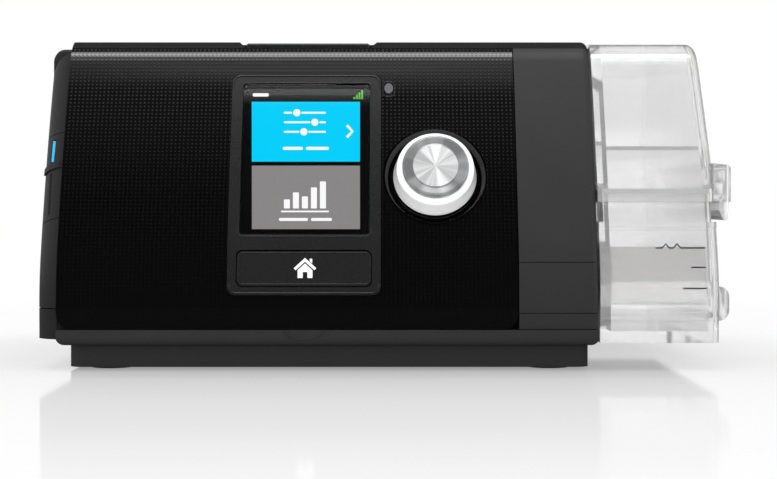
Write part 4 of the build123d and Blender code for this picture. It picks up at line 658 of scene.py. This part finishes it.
# The fill lines, in pixels of the picture
WAVE = (
    (656, 248), (662.5, 248), (665.8, 243.8), (669.2, 248), (673.6, 248),
    (677.2, 243.8), (680.8, 248), (692, 248), (705, 248),
)
WAVE_W = 1.4
LOWER_MARKS = ((691.5, 266.7, 706, 268.1), (683.6, 287.8, 707, 289.2))

# The tub's inside, in millimetres: left and right end, and how far inside its face and back the water ends
SHOWN_X, SHOWN_WALL = (65.8, 92.8), 3.5
HEATED_X, HEATED_WALL = (-6.0, 65.3), 18.5
HEATED_LOW, SHELF_LOW, SHELF_HIGH, WATER_TOP = 12.0, 18.6, 20.0, 35.3
WATER_GAP, WATER_STEPS = 0.1, 8
WATER_TINT = (0.38, 0.368, 0.358)


def level_marks():
    """Fill lines printed on the tub: a wave for the highest level and two plain marks."""
    marks = [stroke(WAVE, WAVE_W)] + [box_outline(*box) for box in LOWER_MARKS]
    patch("level_marks", "tub_base", marks, EXTRAS["mark_grey"].material, "tub", PRINT_LIFT)


def tub_ring(z, ends, wall):
    """Corners of the tub's space at height z, a wall's thickness inside its face and its back."""
    front, back = face_y(z) + wall / math.cos(face_tilt(z)), BACK - wall
    left, right = ends
    return [(left, front, z), (right, front, z), (right, back, z), (left, back, z)]


def layers(name, low, high, steps, ends, wall, material):
    """A closed piece that fills the tub from one height to another, its front following the face."""
    corners, faces = [], []
    for i in range(steps + 1):
        corners += [Vector(corner) * MM for corner in tub_ring(low + (high - low) * i / steps, ends, wall)]
    count = len(corners) // (steps + 1)
    for i in range(steps):
        for j in range(count):
            k = (j + 1) % count
            faces.append((count * i + j, count * i + k, count * i + count + k, count * i + count + j))
    faces.append(tuple(range(count)))
    faces.append(tuple(range(count * steps, count * (steps + 1))))
    mesh_object(name, corners, faces, material, "tub")


def water():
    """Water in the tub up to its highest mark: the shown part over its shelf, and the one over the heater."""
    finish = Finish("water", WATER_TINT, 0.05, IOR=1.15, Transmission_Weight=1.0)
    finish.bump(finish.noise(scale=120), 0.02 * MM, strength=0.3)
    liquid, clear = finish.material, FINISHES["tub_clear"].material
    shown_low, shown_high = SHELF_HIGH + WATER_GAP, WATER_TOP + WATER_GAP
    layers("water", shown_low, shown_high, WATER_STEPS, SHOWN_X, SHOWN_WALL, liquid)
    layers("water_over_heater", HEATED_LOW, WATER_TOP, WATER_STEPS, HEATED_X, HEATED_WALL, liquid)
    layers("tub_shelf", SHELF_LOW, SHELF_HIGH, 1, SHOWN_X, SHOWN_WALL, clear)


rims()
card_edge()
screen_signs()
house_sign()
level_marks()
water()


# ---------------------------------------------------------------- light

# The even light that matt surfaces see, and the room that gloss sees. By a direction's z it has a wall, a
# high window and a ceiling lamp in front, and a back. By x it has sides, and y gives the back's share. A row
# is two such values of x, y or z, then the level before the first and after the second
EVEN_LIGHT = 0.85
ROOM_FRONT = ((0.66, 0.82, 0.025, 0.1), (0.82, 0.885, 0.0, 1.3), (0.95, 0.97, 0.0, 6.0))
ROOM_BACK = (0.1, 0.3, 1.0, 0.15)
ROOM_SIDES = (0.5, 0.75, 0.0, 0.9)
BACK_SHARE = (-0.1, 0.1, 0.0, 1.0)

# Share of white in what glass shows, by y and by z. The rest is the room
WHITE_BEHIND, WHITE_LOW = (-0.2, 0.0, 0.0, 1.0), (0.02, 0.12, 1.0, 0.0)


def studio():
    """World: white to the camera, a room to reflections, both through glass, and even light elsewhere."""
    world = bpy.data.worlds.new("studio")
    bpy.context.scene.world = world
    world.use_nodes = True
    world.node_tree.nodes.clear()
    nodes = Nodes(world.node_tree)
    x, y, z = nodes.split(nodes.add("ShaderNodeTexCoord").outputs["Generated"])
    wall, window, ceiling = (nodes.fade(z, *part) for part in ROOM_FRONT)
    front = nodes.math("ADD", nodes.math("ADD", wall, window), ceiling)
    room = nodes.either(nodes.fade(y, *BACK_SHARE), front, nodes.fade(z, *ROOM_BACK))
    room = nodes.math("MAXIMUM", room, nodes.fade(nodes.math("ABSOLUTE", x), *ROOM_SIDES))
    white = nodes.math("MAXIMUM", nodes.fade(y, *WHITE_BEHIND), nodes.fade(z, *WHITE_LOW))
    path = nodes.add("ShaderNodeLightPath").outputs
    strength = nodes.either(path["Is Glossy Ray"], EVEN_LIGHT, room)
    strength = nodes.either(path["Is Transmission Ray"], strength, nodes.either(white, room, 1.0))
    strength = nodes.either(path["Is Camera Ray"], strength, 1.0)
    background = nodes.add("ShaderNodeBackground", (1, 1, 1, 1), strength)
    nodes.add("ShaderNodeOutputWorld", background.outputs[0])


def lamp(name, place, aim, width, height, power):
    """A soft lamp that reflections don't show, its place and size in metres and its power in watts."""
    light = bpy.data.lights.new(name, "AREA")
    light.shape = "RECTANGLE"
    light.size, light.size_y, light.energy = width, height, power
    piece = bpy.data.objects.new(name, light)
    piece.location = place
    piece.rotation_euler = (Vector(aim) - Vector(place)).to_track_quat("-Z", "Y").to_euler()
    piece.visible_glossy = False
    bpy.context.scene.collection.objects.link(piece)


def lamps():
    """One lamp above, one in front on the left and a low one in front."""
    lamp("top_light", (0.0, -0.1, 0.95), aim=(0, 0, 0.04), width=1.0, height=0.8, power=4.0)
    lamp("front_light", (-0.35, -1.1, 0.55), aim=(0, 0, 0.05), width=0.7, height=0.7, power=3.5)
    lamp("low_light", (0.1, -1.2, 0.16), aim=(0, 0, 0.05), width=0.8, height=0.25, power=4.0)


# ---------------------------------------------------------------- floor

# Half the floor's side in metres, and its levels: near the object to the camera, as colour and added
# light, to bounced light, and in reflections
FLOOR_HALF = 12.0
NEAR_COLOR, NEAR_GLOW, BOUNCE_COLOR, MIRRORED_GLOW = 0.36, 0.55, 0.95, 0.05

# Share of plain white by distance in metres, and the reflection's strength by how edge on the floor is
# seen, in rows like the room's
TO_WHITE = (0.2, 0.42, 0.0, 1.0)
EDGE_ON = (0.72, 0.85, 0.15, 1.0)

# How soft the reflection is, and its share at places along y in metres
REFLECTION_ROUGHNESS = 0.07
REFLECTION = (
    (-0.30, 0.09), (-0.26, 0.15), (-0.21, 0.22), (-0.13, 0.3),
    (-0.1, 0.35), (-0.08, 0.42), (0.0, 0.2), (0.08, 0.0),
)


def reflection_share(nodes, place):
    """How much of the floor's look is its reflection."""
    node = nodes.add("ShaderNodeFloatCurve")
    nodes.wire(node.inputs["Value"], nodes.split(place)[1])
    node.mapping.extend = "HORIZONTAL"
    curve = node.mapping.curves[0]
    curve.points[0].location, curve.points[1].location = REFLECTION[0], REFLECTION[-1]
    for spot in REFLECTION[1:-1]:
        curve.points.new(*spot)
    node.mapping.update()
    facing = nodes.add("ShaderNodeLayerWeight").outputs["Facing"]
    return nodes.math("MULTIPLY", node.outputs[0], nodes.span(facing, *EDGE_ON))


def floor_material():
    """White to the camera, keeping the shadow and a soft reflection that fades forwards."""
    material = bpy.data.materials.new("floor")
    material.use_nodes = True
    material.node_tree.nodes.clear()
    nodes = Nodes(material.node_tree)
    place = nodes.add("ShaderNodeTexCoord").outputs["Object"]
    path = nodes.add("ShaderNodeLightPath").outputs
    near = nodes.add("ShaderNodeAddShader", nodes.diffuse(NEAR_COLOR), nodes.emission(NEAR_GLOW)).outputs[0]
    far = nodes.fade(nodes.vector("LENGTH", place), *TO_WHITE)
    seen = nodes.math("MAXIMUM", path["Is Camera Ray"], path["Is Transmission Ray"])
    white = nodes.mix(seen, nodes.diffuse(BOUNCE_COLOR), nodes.mix(far, near, nodes.emission(1.0)))
    gloss = nodes.add("ShaderNodeBsdfGlossy")
    gloss.inputs["Roughness"].default_value = REFLECTION_ROUGHNESS
    shown = nodes.mix(reflection_share(nodes, place), white, gloss.outputs[0])
    glossy_only = nodes.math("SUBTRACT", path["Is Glossy Ray"], path["Is Transmission Ray"])
    mirrored = nodes.math("MAXIMUM", glossy_only, 0.0)
    nodes.add("ShaderNodeOutputMaterial", nodes.mix(mirrored, shown, nodes.emission(MIRRORED_GLOW)))
    return material


def floor():
    """Pale glossy floor under the machine."""
    low, high = -FLOOR_HALF, FLOOR_HALF
    mesh = bpy.data.meshes.new("floor")
    mesh.from_pydata([(low, low, 0), (high, low, 0), (high, high, 0), (low, high, 0)], [], [(0, 1, 2, 3)])
    mesh.materials.append(floor_material())
    piece = bpy.data.objects.new("floor", mesh)
    bpy.context.scene.collection.objects.link(piece)


# ---------------------------------------------------------------- camera

# The width of its sensor in millimetres, and the nearest and farthest that it sees in metres
SENSOR_W, NEAREST, FARTHEST = 36.0, 0.01, 50.0


def camera():
    """The photograph's camera, turned so that its axis pixel looks straight along y."""
    data = bpy.data.cameras.new("camera")
    data.sensor_fit = "HORIZONTAL"
    data.sensor_width = SENSOR_W
    data.lens = FOCAL * data.sensor_width / PICTURE_W
    data.clip_start, data.clip_end = NEAREST, FARTHEST
    piece = bpy.data.objects.new("camera", data)
    piece.location = EYE * MM
    down = math.atan((PICTURE_H / 2 - AXIS_PX[1]) / FOCAL)
    right = math.atan((PICTURE_W / 2 - AXIS_PX[0]) / FOCAL)
    piece.rotation_euler = (math.pi / 2 - down, 0, -right)
    bpy.context.scene.collection.objects.link(piece)
    bpy.context.scene.camera = piece


studio()
floor()
lamps()
camera()
bpy.context.scene.view_settings.view_transform = "Standard"
